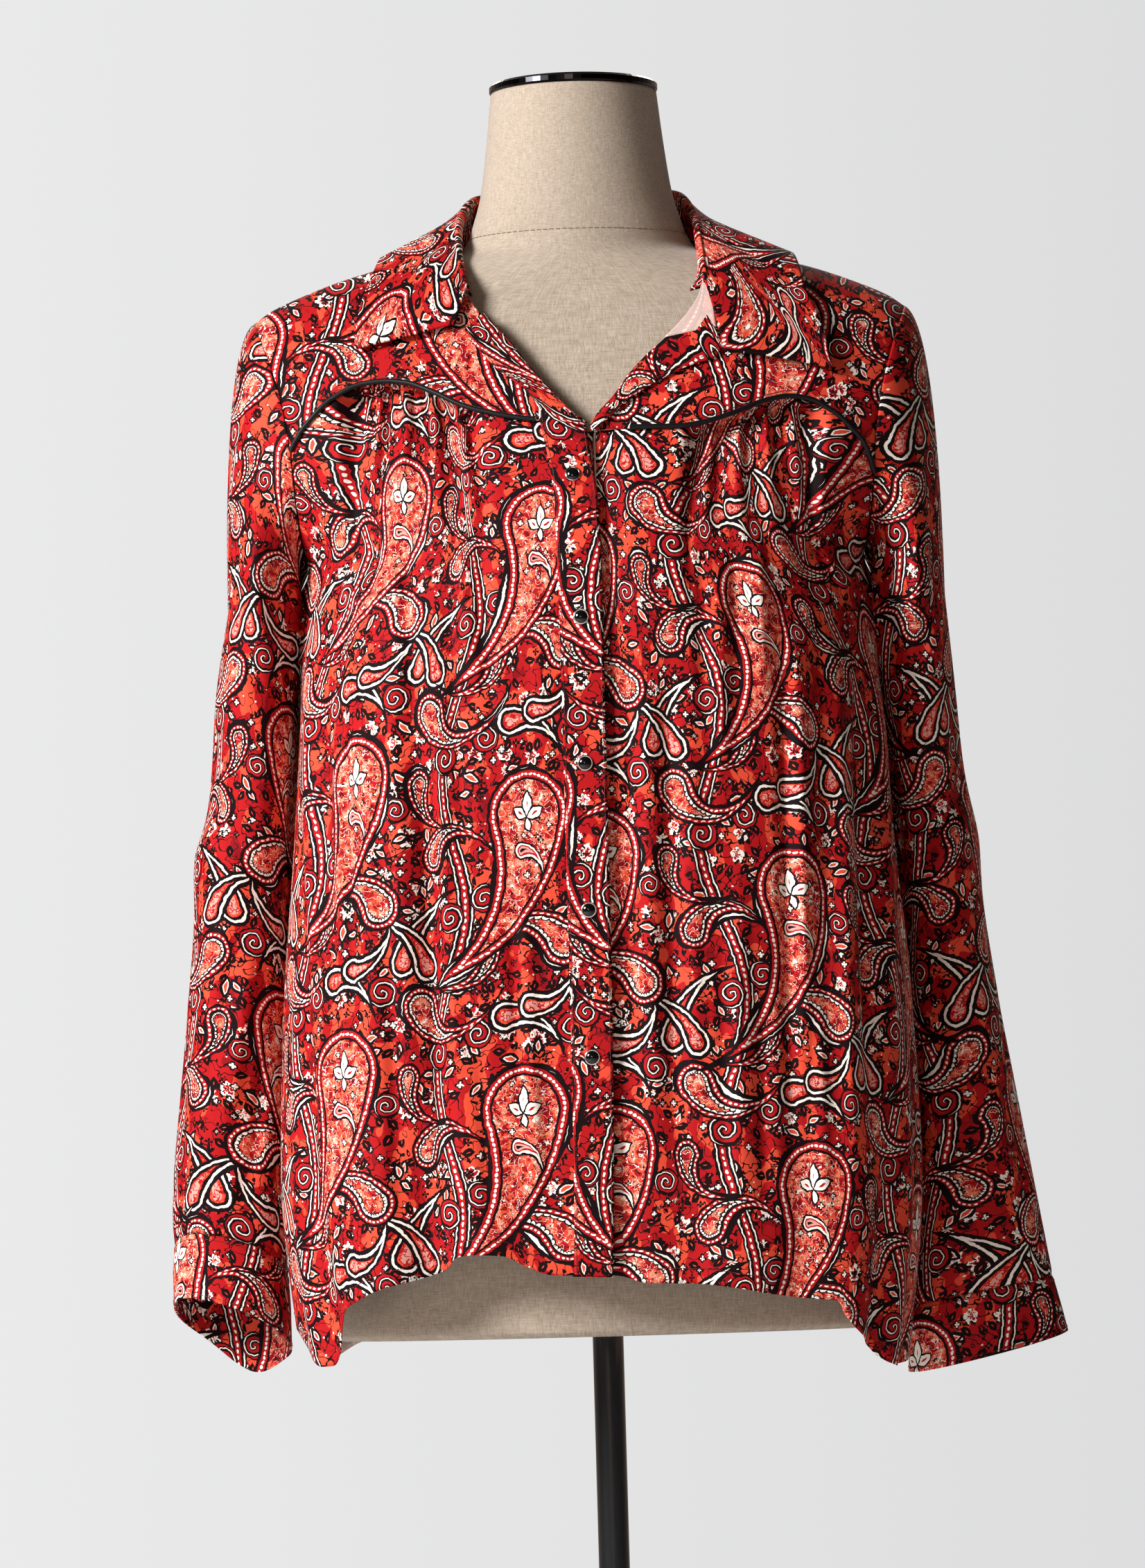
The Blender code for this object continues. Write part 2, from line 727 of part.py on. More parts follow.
def seam_columns(side):
    """Where the columns of a front and its yoke cross the yoke seam."""
    count = GATHER_COUNT * COLUMNS_PER_GATHER
    gathers = [mix(i / count, GATHER_START, GATHER_END) for i in range(count + 1)]
    first = side.yoke_seam[0].across
    inner = [first if x == 0.0 else x for x in INNER_COLUMNS]
    return [*inner, *gathers, *OUTER_COLUMNS, side.yoke_seam[-1].across]


def yoke_columns(side):
    """The same with one column for each gather."""
    columns = seam_columns(side)
    start = len(INNER_COLUMNS)
    end = start + GATHER_COUNT * COLUMNS_PER_GATHER
    return columns[:start] + columns[start:end:COLUMNS_PER_GATHER] + columns[end:]


def seam_height(side, across):
    return read(side.yoke_seam, "across", across, "height")


def yoke_heights(side, share):
    """Heights along the armhole edge of a yoke, close together near the shoulder."""
    return TIP_HEIGHT + (side.seam_end - TIP_HEIGHT) * (1 - cos(share * pi / 2))


def make_yoke(side):
    """The shoulder piece between neckline, shoulder line, armhole and yoke seam."""
    columns = yoke_columns(side)
    inner, outer = columns[0], columns[-1]
    low_in = seam_height(side, inner) + YOKE_SEAM_GAP / 2
    high_in = side.neckline[-1].height
    grid = []
    for i in range(YOKE_ROWS):
        share = i / (YOKE_ROWS - 1)
        drop = 1 - cos(share * pi / 2)
        neck_h = mix(drop, high_in, low_in)
        neck_x = read(side.neckline, "height", neck_h, "across")
        arm_h = yoke_heights(side, share)
        arm_x = armhole_x(arm_h)
        row = []
        for across in columns:
            f = (across - inner) / (outer - inner)
            top_x = mix(f, NECK_SIDE, SHOULDER_TIP)
            top_h = shoulder_height(top_x)
            low_x, low_h = across, seam_height(side, across) + YOKE_SEAM_GAP / 2
            corner_x = mix(f, mix(drop, NECK_SIDE, inner), mix(drop, SHOULDER_TIP, outer))
            corner_h = mix(f, mix(drop, high_in, low_in), mix(drop, TIP_HEIGHT, side.seam_end))
            x = mix(f, neck_x, arm_x) + mix(drop, top_x, low_x) - corner_x
            height = mix(f, neck_h, arm_h) + mix(drop, top_h, low_h) - corner_h
            point = Vector((x * side.sign, front_y(x, height), height))
            if i == 0:
                point.y -= RIDGE_SEAM
            row.append(point)
        grid.append(row)
    cloth(f"{side.name}_yoke", grid, flip=side.sign < 0)
    return grid, side.sign < 0


def low_armhole_height(side, i):
    """Heights on the armhole from the yoke seam down to the underarm."""
    return mix((i / ARMHOLE_COLUMNS) ** ARMHOLE_SPACING, side.seam_end, UNDERARM)


def front_tops(side):
    """The top of each column of a front: its angle, its height and its place on the seam."""
    tops = []
    for across in seam_columns(side):
        height = seam_height(side, across) - YOKE_SEAM_GAP / 2
        tops.append((angle_of(across, height), height, across))
    for i in range(1, ARMHOLE_COLUMNS + 1):
        height = low_armhole_height(side, i)
        across = armhole_x(height)
        turn = 90.0 if i == ARMHOLE_COLUMNS else angle_of(across, height)
        tops.append((turn, height, across))
    return tops


def gather_depth(across, below):
    """The gathers' height at a distance below the yoke seam."""
    if not GATHER_START <= across <= GATHER_END or below <= 0:
        return 0.0
    turns = (across - GATHER_START) / (GATHER_END - GATHER_START) * GATHER_COUNT
    held = min(below / GATHER_EDGE, 1.0)
    return GATHER_DEPTH * held * sin(turns * 2 * pi) * exp(-((below / GATHER_FADE) ** 1.4))


def hem_height(angle):
    return read(HEM, "angle", angle, "height")


def middle_edge(side, height):
    """The upright edge of a front at the middle, hidden under the front band."""
    if side.sign < 0:
        rows = [row for row in BAND if row.edge_h < 552]
        return read(rows, "edge_h", height, "edge_x") - BAND_OVERHANG
    return read(UNDER_BAND, "height", height, "seam_x") + LAYER


def make_front(side):
    """The gathered panel from the yoke seam and armhole down to the hem."""
    tops = front_tops(side)
    last = len(tops) - 1
    hem_angles = [side.sign * 90.0 * (i / last) ** HEM_SPACING for i in range(last + 1)]
    grid = []
    for share in PANEL_ROWS:
        row = []
        for i, (top_angle, top_height, across) in enumerate(tops):
            hem = hem_height(hem_angles[i])
            height = mix(share, top_height, hem)
            settled = ease((height - ANGLE_SETTLES) / (top_height - ANGLE_SETTLES))
            angle = mix(settled, hem_angles[i], top_angle * side.sign)
            if i == 0:
                angle = angle_of(middle_edge(side, height), height)
            out = gather_depth(across, top_height - height)
            if side.sign > 0:
                x = bare_point(angle, height).x
                out -= UNDERLAP * (1 - ease((x - 10) / (UNDERLAP_FADE - 10)))
            point = body_point(angle, height, out)
            if i == last:
                point.y -= SEAM
            row.append(point)
        grid.append(row)
    cloth(f"{side.name}_front", grid, flip=side.sign < 0)
    return grid, side.sign < 0


def back_side_angle(height):
    """Where the back ends at the side: on the armhole, and below it on the side seam."""
    if height <= UNDERARM:
        return 90.0
    return angle_of(armhole_x(height), height, back=True)


def make_back():
    """The back in one piece from shoulder line and neck to the hem."""
    shoulder = [mix(i / 9, SHOULDER_TIP, NECK_SIDE) for i in range(10)]
    half = [*shoulder, 60.0, 40.0, 20.0, 0.0]
    columns = [(x, 1) for x in half] + [(x, -1) for x in half[-2::-1]]
    upper = [(TIP_HEIGHT - height) / (TIP_HEIGHT - UNDERARM) for height in BACK_ARMHOLE]
    rows = [(share, 0) for share in upper] + [(1, share) for share in PANEL_ROWS[3:]]
    grid = []
    for high, low in rows:
        row = []
        for i, (top_x, sign) in enumerate(columns):
            from_side = min(i, len(columns) - 1 - i) / (len(half) - 1)
            if top_x >= NECK_SIDE:
                top_height = shoulder_height(top_x)
            else:
                top_height = read(BACK_NECKLINE, "across", top_x, "height")
            hem = hem_height(sign * (90 + 90 * from_side))
            height = mix(low, mix(high, top_height, UNDERARM), hem)
            top_share = 180 - angle_of(top_x, top_height, back=True)
            top_share /= 180 - back_side_angle(TIP_HEIGHT)
            settled = ease((height - ANGLE_SETTLES) / (top_height - ANGLE_SETTLES))
            share = mix(settled, 1 - from_side, top_share)
            angle = sign * (180 - (180 - back_side_angle(height)) * share)
            point = body_point(angle, height)
            if from_side == 0 and height <= UNDERARM:
                point.y += SEAM
            if high == 0 and top_x >= NECK_SIDE:
                point.y += RIDGE_SEAM
            row.append(point)
        grid.append(row)
    cloth("back", grid)
    return grid, False


# ---- sleeves and cuffs --------------------------------------------------------------


def armhole_loop(side):
    """The armhole from the shoulder tip down the front and up the back."""
    front = [yoke_heights(side, i / (YOKE_ROWS - 1)) for i in range(YOKE_ROWS)]
    for i in range(1, ARMHOLE_COLUMNS):
        front.append(low_armhole_height(side, i))
    loop = [Vector((armhole_x(h), front_y(armhole_x(h), h), h)) for h in front]
    loop.append(Vector((armhole_x(UNDERARM), front_y(armhole_x(UNDERARM), UNDERARM), UNDERARM)))
    for height in BACK_ARMHOLE[-2:0:-1]:
        loop.append(Vector((armhole_x(height), back_y(armhole_x(height), height), height)))
    return loop


def loop_turns(side):
    """How far round the sleeve each armhole point belongs: 0 outside, 90 in front."""
    front = YOKE_ROWS + ARMHOLE_COLUMNS - 1
    turns = [180.0 * i / front for i in range(front + 1)]
    back = len(BACK_ARMHOLE) - 1
    return turns + [180.0 + 180.0 * i / back for i in range(1, back)]


def sleeve_fold_depth(turn, height):
    depth = 0.0
    for fold in SLEEVE_FOLDS:
        off = (turn - fold.around + 180) % 360 - 180
        depth += fold.depth * exp(
            -((off / fold.spread) ** 2) - ((height - fold.height) / fold.tall) ** 2
        )
    return depth


def sleeve_point(ring, turn, folds=True):
    """A point of a sleeve's ring, for a sleeve on the +X side."""
    power = 2 / SLEEVE_SQUARE
    out, ahead = cos(radians(turn)), sin(radians(turn))
    half = (ring.outer - ring.inner) / 2
    over = abs(out) ** power * (1 if out >= 0 else -1)
    fore = abs(ahead) ** power * (1 if ahead >= 0 else -1)
    push = sleeve_fold_depth(turn, ring.height) if folds else 0.0
    x = ring.inner + half + (half + push * abs(out)) * over
    y = ring.mid_y - (ring.depth + push * abs(ahead)) * fore
    return Vector((x, y, ring.height + ring.outer_up * over + ring.front_up * fore))


def bezier(share, start, leave, arrive, end):
    rest = 1 - share
    return (
        start * rest**3
        + leave * (3 * rest * rest * share)
        + arrive * (3 * rest * share * share)
        + end * share**3
    )


def make_sleeve(side, rings):
    """A sleeve from the armhole, over its head and down to the cuff seam."""
    loop = [point + Vector((ARMHOLE_SEAM, 0, 0)) for point in armhole_loop(side)]
    turns = loop_turns(side)
    first = [sleeve_point(rings[0], turn) for turn in turns]
    grid = []
    for i in range(CAP_ROWS + 1):
        share = i / (CAP_ROWS + 1)
        row = []
        for start, end in zip(loop, first):
            high = (start.z - UNDERARM) / (TIP_HEIGHT - UNDERARM)
            leave = start + mix(high, Vector((4, 0, -8)), Vector((CAP_REACH, 0, -9)))
            arrive = end + Vector((0, 0, mix(high, 8, CAP_FALL)))
            row.append(bezier(share, start, leave, arrive, end))
        grid.append(row)
    heights = [ring.height for ring in rings]
    for height in heights:
        ring = ring_at(rings, height)
        grid.append([sleeve_point(ring, turn) for turn in turns])
    for row in grid:
        for point in row:
            point.x *= side.sign
    cloth(f"{side.name}_sleeve", grid, tube=True, flip=side.sign > 0)


def make_cuff(side, rings):
    """The cuff that closes the sleeve, open at the bottom."""
    turns = loop_turns(side)
    top, low = rings[0].height - CUFF_SEAM, rings[-1].height
    grid = []
    for i in range(CUFF_ROWS):
        share = i / (CUFF_ROWS - 1)
        ring = ring_at(rings, mix(share, top, low))
        row = [sleeve_point(ring, turn, folds=False) for turn in turns]
        for point, turn in zip(row, turns):
            point.x *= side.sign
            if side.sign < 0:
                off = (turn - CUFF_DROOP_TURN) / CUFF_DROOP_SPREAD
                point.z -= CUFF_DROOP * share * exp(-(off**2))
        grid.append(row)
    cloth(f"{side.name}_cuff", grid, wall=CUFF_WALL, tube=True, flip=side.sign > 0)


# ---- what lies on the panels --------------------------------------------------------


def strip_point(table, along, across):
    """A point of a strip, seen from the front: 0 on its first edge, 1 on its second."""
    first_x, first_h, second_x, second_h = [
        read(table, "along", along, name) for name in table[0]._fields[1:]
    ]
    return front_point(mix(across, first_x, second_x), mix(across, first_h, second_h))


def panel_levels(side):
    """The heights of a front's rows at its middle edge, from the top down."""
    top = seam_height(side, side.yoke_seam[0].across) - YOKE_SEAM_GAP / 2
    return [mix(share, top, hem_height(0)) for share in PANEL_ROWS]


def make_front_band(skin):
    """The band on the right front, from the hem to the V and on along the neckline."""
    low = BAND[0].edge_h
    levels = [height for height in panel_levels(RIGHT) if low < height < BAND_STRAIGHT]
    levels += [mix(0.5, a, b) for a, b in zip(levels, levels[1:])] + [low]
    rows = [height - low for height in sorted(levels)]
    straight = rows[-1]
    for i in range(1, BAND_BEND_ROWS + 1):
        rows.append(mix(i / BAND_BEND_ROWS, straight, BAND[-1].along))
    grid = []
    for along in rows[::-1]:
        points = [strip_point(BAND, along, across) for across in (0, 0.5, 1)]
        grid.append([skin.raised(point, LAYER + WALL) for point in points])
    cloth("front_band", grid, flip=True)
    return grid, True


def make_under_band():
    """The band of the left front, one layer further in."""
    grid = []
    for height in panel_levels(LEFT):
        edge = read(UNDER_BAND, "height", height, "edge_x")
        seam = read(UNDER_BAND, "height", height, "seam_x")
        row = []
        for across in (0, 0.5, 1):
            angle = angle_of(mix(across, edge, seam), height)
            row.append(body_point(angle, height, -UNDERLAP))
        grid.append(row)
    cloth("under_band", grid)


def make_lapel(skin):
    """The strip of the left front that is turned out along the V."""
    grid = []
    for i in range(LAPEL_ROWS):
        along = LAPEL[-1].along * (1 - i / (LAPEL_ROWS - 1))
        points = [strip_point(LAPEL, along, across) for across in (0, 0.33, 0.67, 1)]
        grid.append([skin.raised(point, LAPEL_LIFT + WALL) for point in points])
    cloth("left_lapel", grid)


def make_piping(side, skin):
    """Covered cord that stands on the yoke seam."""
    name = f"{side.name}_piping"
    first, last = PIPING_START, side.yoke_seam[-1].across - 1.0
    curve = bpy.data.curves.new(name, "CURVE")
    curve.dimensions = "3D"
    curve.bevel_depth = PIPING_RADIUS * MM
    curve.bevel_resolution = 2
    curve.use_fill_caps = True
    line = curve.splines.new("POLY")
    line.points.add(PIPING_POINTS - 1)
    for i in range(PIPING_POINTS):
        across = mix(sin(i / (PIPING_POINTS - 1) * pi / 2), first, last)
        point = front_point(side.sign * across, seam_height(side, across))
        line.points[i].co = (*placed(skin.raised(point, PIPING_RADIUS + PIPING_LIFT)), 1)
    curve.materials.append(paint("satin_piping"))
    PARTS.objects.link(bpy.data.objects.new(name, curve))


def make_snap(number, skin):
    """The domed cap of a press fastener on the front band."""
    name = f"snap_{number + 1}"
    along = SNAP_TOP - number * SNAP_PITCH - BAND[0].edge_h
    middle = strip_point(BAND, along, 0.5)
    _, outward = skin.height_of(middle)
    profile = [(radius * SNAP_RADIUS, rise * SNAP_DOME) for radius, rise in SNAP_PROFILE]
    snap = turned(name, profile, "black_enamel", SNAP_STEPS)
    snap.location = placed(skin.raised(middle, LAYER))
    snap.rotation_euler = outward.to_track_quat("Z", "Y").to_euler()


def collar_keys():
    """The collar's table with its places on the blouse worked out as points."""
    keyed = []
    for i, row in enumerate(COLLAR):
        surface = front_y if row.face == "front" else back_y
        neck = Vector((row.neck_x, surface(row.neck_x, row.neck_h), row.neck_h))
        inward = Vector((-neck.x, -neck.y, 0)).normalized()
        neck += inward * COLLAR_INSIDE
        edge_h = min(row.edge_h, shoulder_height(row.edge_x))
        edge = (row.edge_x, surface(row.edge_x, edge_h), edge_h)
        roll = (row.roll_x, row.roll_y, row.roll_h)
        keyed.append(CollarKey(i, *neck, *roll, *edge))
    return keyed


def over_shoulder(point):
    """Keeps a point of the collar's leaf above the shoulder line that it crosses."""
    beside = abs(point.y - front_y(point.x, shoulder_height(point.x)))
    if beside > SHOULDER_NEAR:
        return point
    lowest = shoulder_height(point.x) + SHOULDER_LIFT - beside * SHOULDER_FALL
    return Vector((point.x, point.y, max(point.z, lowest)))


def make_collar(skin):
    """Stand and leaf in one bent sheet, from one front round the neck to the other."""
    table = collar_keys()
    grid = []
    for i in range(COLLAR_ROWS):
        key = mix(i / (COLLAR_ROWS - 1), 0, len(COLLAR) - 1)
        places = [read(table, "key", key, name) for name in CollarKey._fields[1:]]
        neck, roll, edge = Vector(places[:3]), Vector(places[3:6]), Vector(places[6:])
        edge = over_shoulder(skin.raised(edge, COLLAR_LIFT))
        away = Vector((edge.x - roll.x, edge.y - roll.y, 0)).normalized()
        inner = roll - away * ROLL_HALF - Vector((0, 0, ROLL_DROP))
        outer = roll + away * ROLL_HALF - Vector((0, 0, ROLL_DROP))
        leaf = [skin.kept_off(mix(f, outer, edge), COLLAR_LIFT) for f in (0.2, 0.45, 0.72)]
        leaf = [over_shoulder(point) for point in leaf]
        grid.append([neck, mix(0.5, neck, inner), inner, roll, outer, *leaf, edge])
    cloth("collar", grid, wall=COLLAR_WALL, centred=True, flip=True)


# ---- dress form and stand -----------------------------------------------------------


def make_form():
    """The padded torso, closed at the neck and underneath."""
    grid = []
    for ring in FORM[::-1]:
        row = []
        for i in range(FORM_COLUMNS):
            turn = 2 * pi * i / FORM_COLUMNS
            across, ahead = sin(turn), cos(turn)
            power = 2 / ring.square
            x = ring.width * abs(across) ** power * (1 if across >= 0 else -1)
            reach = ring.front + ring.mid if ahead > 0 else ring.back - ring.mid
            y = ring.mid - reach * abs(ahead) ** power * (1 if ahead >= 0 else -1)
            row.append(Vector((x, y, ring.height)))
        grid.append(row)
    mesh = grid_mesh("form_torso", grid, tube=True)
    shape = bmesh.new()
    shape.from_mesh(mesh)
    bmesh.ops.holes_fill(shape, edges=[edge for edge in shape.edges if edge.is_boundary])
    bmesh.ops.recalc_face_normals(shape, faces=shape.faces)
    shape.to_mesh(mesh)
    shape.free()
    new_object("form_torso", mesh, "linen_canvas")


def make_stand():
    """Neck cap, pole and round base plate with its hub."""
    low = FORM_BASE + CAP_LOW
    rim = low + CAP_RIM
    turned(
        "neck_cap",
        [
            (0, rim + CAP_DOME),
            (CAP_RADIUS * 0.6, rim + CAP_DOME * 0.7),
            (CAP_RADIUS - 2, rim),
            (CAP_RADIUS, rim - 1.5),
            (CAP_RADIUS, low + 1),
            (CAP_RADIUS - 1, low),
            (0, low),
        ],
        "dark_chrome",
    )
    turned(
        "pole",
        [
            (0, FORM_BASE - TOUCH),
            (POLE_RADIUS, FORM_BASE - TOUCH),
            (POLE_RADIUS, HUB_TOP + TOUCH),
            (0, HUB_TOP + TOUCH),
        ],
        "black_steel",
    )
    turned(
        "base_plate",
        [
            (0, HUB_TOP),
            (HUB_RADIUS - 6, HUB_TOP),
            (HUB_RADIUS - 3, HUB_TOP - 3),
            (HUB_RADIUS, BASE_PLATE + 8),
            (HUB_RADIUS + 8, BASE_PLATE + 1),
            (BASE_RADIUS - 4, BASE_PLATE - 1),
            (BASE_RADIUS, BASE_PLATE - 5),
            (BASE_RADIUS, 1.0),
            (BASE_RADIUS - 1.0, 0),
            (0, 0),
        ],
        "black_steel",
    )


clear_scene()
PARTS = bpy.data.collections.new("blouse_on_dress_form")
bpy.context.scene.collection.children.link(PARTS)
make_form()
make_stand()
sheets = {}
for half in (RIGHT, LEFT):
    sheets[half.name] = [make_yoke(half), make_front(half)]
    make_piping(half, Skin(*sheets[half.name]))
back_sheet = make_back()
make_sleeve(RIGHT, RIGHT_SLEEVE)
make_sleeve(LEFT, LEFT_SLEEVE)
make_cuff(RIGHT, RIGHT_CUFF)
make_cuff(LEFT, LEFT_CUFF)
band_sheet = make_front_band(Skin(*sheets["right"]))
make_under_band()
make_lapel(Skin(*sheets["left"]))
make_collar(Skin(sheets["right"][0], sheets["left"][0], back_sheet))
for snap in range(SNAP_COUNT):
    make_snap(snap, Skin(band_sheet))
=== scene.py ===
"""A red paisley blouse worn on a limbless dress form, with its stand.

Heights in the tables are in millimetres above the form's lower edge, which is 800 mm above
the floor. The front faces -Y and the wearer's right is -X, on the left of the photograph.
"""

from functools import partial
from math import cos, pi, radians, sin
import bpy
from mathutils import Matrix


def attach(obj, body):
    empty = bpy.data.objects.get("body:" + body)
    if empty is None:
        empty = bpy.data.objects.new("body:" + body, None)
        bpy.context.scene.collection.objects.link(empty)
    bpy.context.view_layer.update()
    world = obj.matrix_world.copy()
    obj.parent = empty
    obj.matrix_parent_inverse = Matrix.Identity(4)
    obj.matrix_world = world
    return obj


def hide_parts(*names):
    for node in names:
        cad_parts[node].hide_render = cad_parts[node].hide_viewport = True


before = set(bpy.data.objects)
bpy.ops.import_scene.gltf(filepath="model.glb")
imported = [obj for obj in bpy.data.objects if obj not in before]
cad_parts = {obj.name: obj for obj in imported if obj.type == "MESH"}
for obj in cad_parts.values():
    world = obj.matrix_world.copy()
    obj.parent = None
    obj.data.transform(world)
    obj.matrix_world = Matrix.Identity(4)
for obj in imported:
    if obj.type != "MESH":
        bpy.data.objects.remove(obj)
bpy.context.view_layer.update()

from types import SimpleNamespace

import bpy
import numpy as np
from mathutils import Matrix, Vector
from mathutils.bvhtree import BVHTree

# ---- 1. Base plate and pole ---------------------------------------------------------
# A turned steel plate with its hub and a drawn steel tube, both sprayed with gloss black
# lacquer. The tube screws into the hub and carries the form. Their CAD shapes stay.


def linear(code, alpha=1.0):
    """An sRGB hex colour as the linear values that a shader takes."""
    parts = [int(code[i : i + 2], 16) / 255 for i in (1, 3, 5)]
    lit = [c / 12.92 if c <= 0.04045 else ((c + 0.055) / 1.055) ** 2.4 for c in parts]
    return (*lit, alpha)


def node(tree, kind, inputs=(), output=0, whole=False, **settings):
    """Adds a node with its settings and gives each input a value or a link."""
    made = tree.nodes.new(kind if kind[:8] in ("Geometry", "Function") else "ShaderNode" + kind)
    for name, value in settings.items():
        setattr(made, name, value)
    pairs = inputs.items() if isinstance(inputs, dict) else enumerate(inputs)
    for key, value in pairs:
        if isinstance(value, bpy.types.NodeSocket):
            tree.links.new(value, made.inputs[key])
        elif value is not None:
            made.inputs[key].default_value = value
    return made if whole else made.outputs[output]


def new_material(name):
    """An empty material, its node tree and the Principled shader on its output."""
    material = bpy.data.materials.new(name)
    material.use_nodes = True
    return material, material.node_tree, material.node_tree.nodes["Principled BSDF"]


def gloss_black():
    """Sprayed lacquer: deep black, a clear sharp sheen, faint orange peel."""
    material, tree, shader = new_material("gloss_black_lacquer")
    place = tree.nodes.new("ShaderNodeTexCoord").outputs["Object"]
    peel = node(tree, "TexNoise", {"Vector": place, "Scale": 900.0, "Detail": 1.0})
    bump = node(tree, "Bump", {"Height": peel, "Strength": 0.04, "Distance": 0.0005})
    shader.inputs["Base Color"].default_value = linear("#17191C")
    shader.inputs["Roughness"].default_value = 0.26
    shader.inputs["IOR"].default_value = 1.52
    shader.inputs["Coat Weight"].default_value = 0.6
    shader.inputs["Coat Roughness"].default_value = 0.06
    tree.links.new(bump, shader.inputs["Normal"])
    return material


lacquer = gloss_black()
for name in ("base_plate", "pole"):
    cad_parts[name].material_slots[0].material = lacquer

# ---- 2. Neck cap --------------------------------------------------------------------
# A spun steel disc, chromed dark, pressed on the form's neck. The turned rim shows a
# narrow bright line under the softbox.


def dark_chrome():
    """Dark chrome plating: near black metal with fine turning marks round the axis."""
    material, tree, shader = new_material("dark_chrome_plate")
    place = tree.nodes.new("ShaderNodeTexCoord").outputs["Object"]
    rings = node(
        tree, "TexWave", {"Vector": place, "Scale": 400.0}, wave_type="RINGS", rings_direction="Z"
    )
    bump = node(tree, "Bump", {"Height": rings, "Strength": 0.05, "Distance": 0.0002})
    shader.inputs["Base Color"].default_value = linear("#2B2C30")
    shader.inputs["Metallic"].default_value = 1.0
    shader.inputs["Roughness"].default_value = 0.14
    tree.links.new(bump, shader.inputs["Normal"])
    return material


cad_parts["neck_cap"].material_slots[0].material = dark_chrome()

# ---- 3. Dress form ------------------------------------------------------------------
# A torso of papier mache, padded and covered with natural linen canvas, which is pulled
# tight, sewn to the neck's cover all round and tacked under the lower edge.

FORM_BASE = 800.0


def curve_of(keys, values):
    """A smooth curve through table values that never swings past them."""
    keys, values = np.array(keys, float), np.array(values, float)
    steep = np.diff(values) / np.diff(keys)
    slopes = np.zeros(len(keys))
    slopes[0], slopes[-1] = steep[0], steep[-1]
    same = steep[:-1] * steep[1:] > 0
    total = np.where(same, steep[:-1] + steep[1:], 1.0)
    slopes[1:-1] = np.where(same, 2 * steep[:-1] * steep[1:] / total, 0.0)

    def at(where):
        where = np.clip(where, keys[0], keys[-1])
        i = np.clip(np.searchsorted(keys, where), 1, len(keys) - 1)
        step = keys[i] - keys[i - 1]
        s = (where - keys[i - 1]) / step
        start, end = values[i - 1], values[i]
        return (
            (2 * s**3 - 3 * s**2 + 1) * start
            + (s**3 - 2 * s**2 + s) * slopes[i - 1] * step
            + (3 * s**2 - 2 * s**3) * end
            + (s**3 - s**2) * slopes[i] * step
        )

    return at


def table(names, rows):
    """A table as one curve for each column after the first, which is the key."""
    rows = sorted(rows)
    columns = list(zip(*rows))
    return SimpleNamespace(
        keys=columns[0],
        **{name: curve_of(columns[0], col) for name, col in zip(names.split(), columns[1:])},
    )


def signed_power(base, power):
    return np.sign(base) * np.abs(base) ** power


FORM = table(
    "width front back mid square",
    [
        (0, 171, 108, 121, 0, 2.2),
        (4, 173, 110, 123, 0, 2.2),
        (60, 173, 111, 125, 0, 2.2),
        (120, 163, 108, 116, 0, 2.2),
        (180, 145, 104, 101, 0, 2.2),
        (230, 127, 99, 86, 0, 2.2),
        (270, 119, 97, 79, 0, 2.2),
        (320, 123, 105, 83, 0, 2.2),
        (370, 134, 122, 92, 0, 2.2),
        (430, 146, 138, 103, 0, 2.2),
        (480, 152, 128, 108, 0, 2.2),
        (530, 161, 109, 107, 0, 2.25),
        (570, 172, 92, 99, 0, 2.35),
        (600, 179, 77, 89, 0, 2.4),
        (620, 181, 65, 79, 1, 2.3),
        (634, 176, 56, 69, 3, 2.15),
        (643, 166, 51, 62, 4, 2.0),
        (650, 151, 49, 57, 5, 1.9),
        (657, 128, 48, 53, 5, 1.85),
        (662, 107, 47.5, 51.5, 5, 1.8),
        (667, 84, 47, 50, 5, 1.8),
        (672, 73, 47, 49.5, 5, 1.85),
        (679, 68.5, 47, 49.5, 4, 1.95),
        (688, 65, 47.5, 50, 3, 2.0),
        (705, 60, 49, 50.5, 2, 2.0),
        (735, 55.5, 50, 51.5, 1, 2.0),
        (769.7, 51.6, 50.6, 52.6, 1, 2.0),
    ],
)
NECK_SEAM = 681.0  # height of the sewn join between torso and neck


def mesh_from(name, points, uv=None, tube=False, flip=False, caps=False):
    """A mesh over a grid of points in millimetres, rows running down the piece."""
    rows, columns = points.shape[:2]
    i, j = np.meshgrid(
        np.arange(rows - 1), np.arange(columns if tube else columns - 1), indexing="ij"
    )
    i, j = i.ravel(), j.ravel()
    near, far = i * columns + j, i * columns + (j + 1) % columns
    faces = np.stack([near, near + columns, far + columns, far], axis=1)
    corners = [(i, j), (i + 1, j), (i + 1, j + 1), (i, j + 1)]
    if flip:
        faces, corners = faces[:, ::-1], corners[::-1]
    spots = (points.reshape(-1, 3) + (0, 0, FORM_BASE)) * 0.001
    faces = faces.tolist()
    if caps:
        faces += [list(range(columns)), [rows * columns - 1 - k for k in range(columns)]]
    mesh = bpy.data.meshes.new(name)
    mesh.from_pydata(spots.tolist(), [], faces)
    if uv is not None:
        flat = np.stack([uv[a, b] for a, b in corners], axis=1).reshape(-1, 2) * 0.001
        layer = mesh.uv_layers.new(name="cut")
        loops = np.zeros((len(mesh.loops), 2), np.float32)
        loops[: len(flat)] = flat
        layer.data.foreach_set("uv", loops.ravel())
    mesh.shade_smooth()
    return mesh


def show(name, mesh, material, replaced=()):
    """Puts a finished piece in the scene, on the frame, in place of its CAD nodes."""
    piece = bpy.data.objects.new(name, mesh)
    bpy.context.scene.collection.objects.link(piece)
    mesh.materials.append(material)
    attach(piece, "root")
    if replaced:
        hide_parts(*replaced)
    return piece


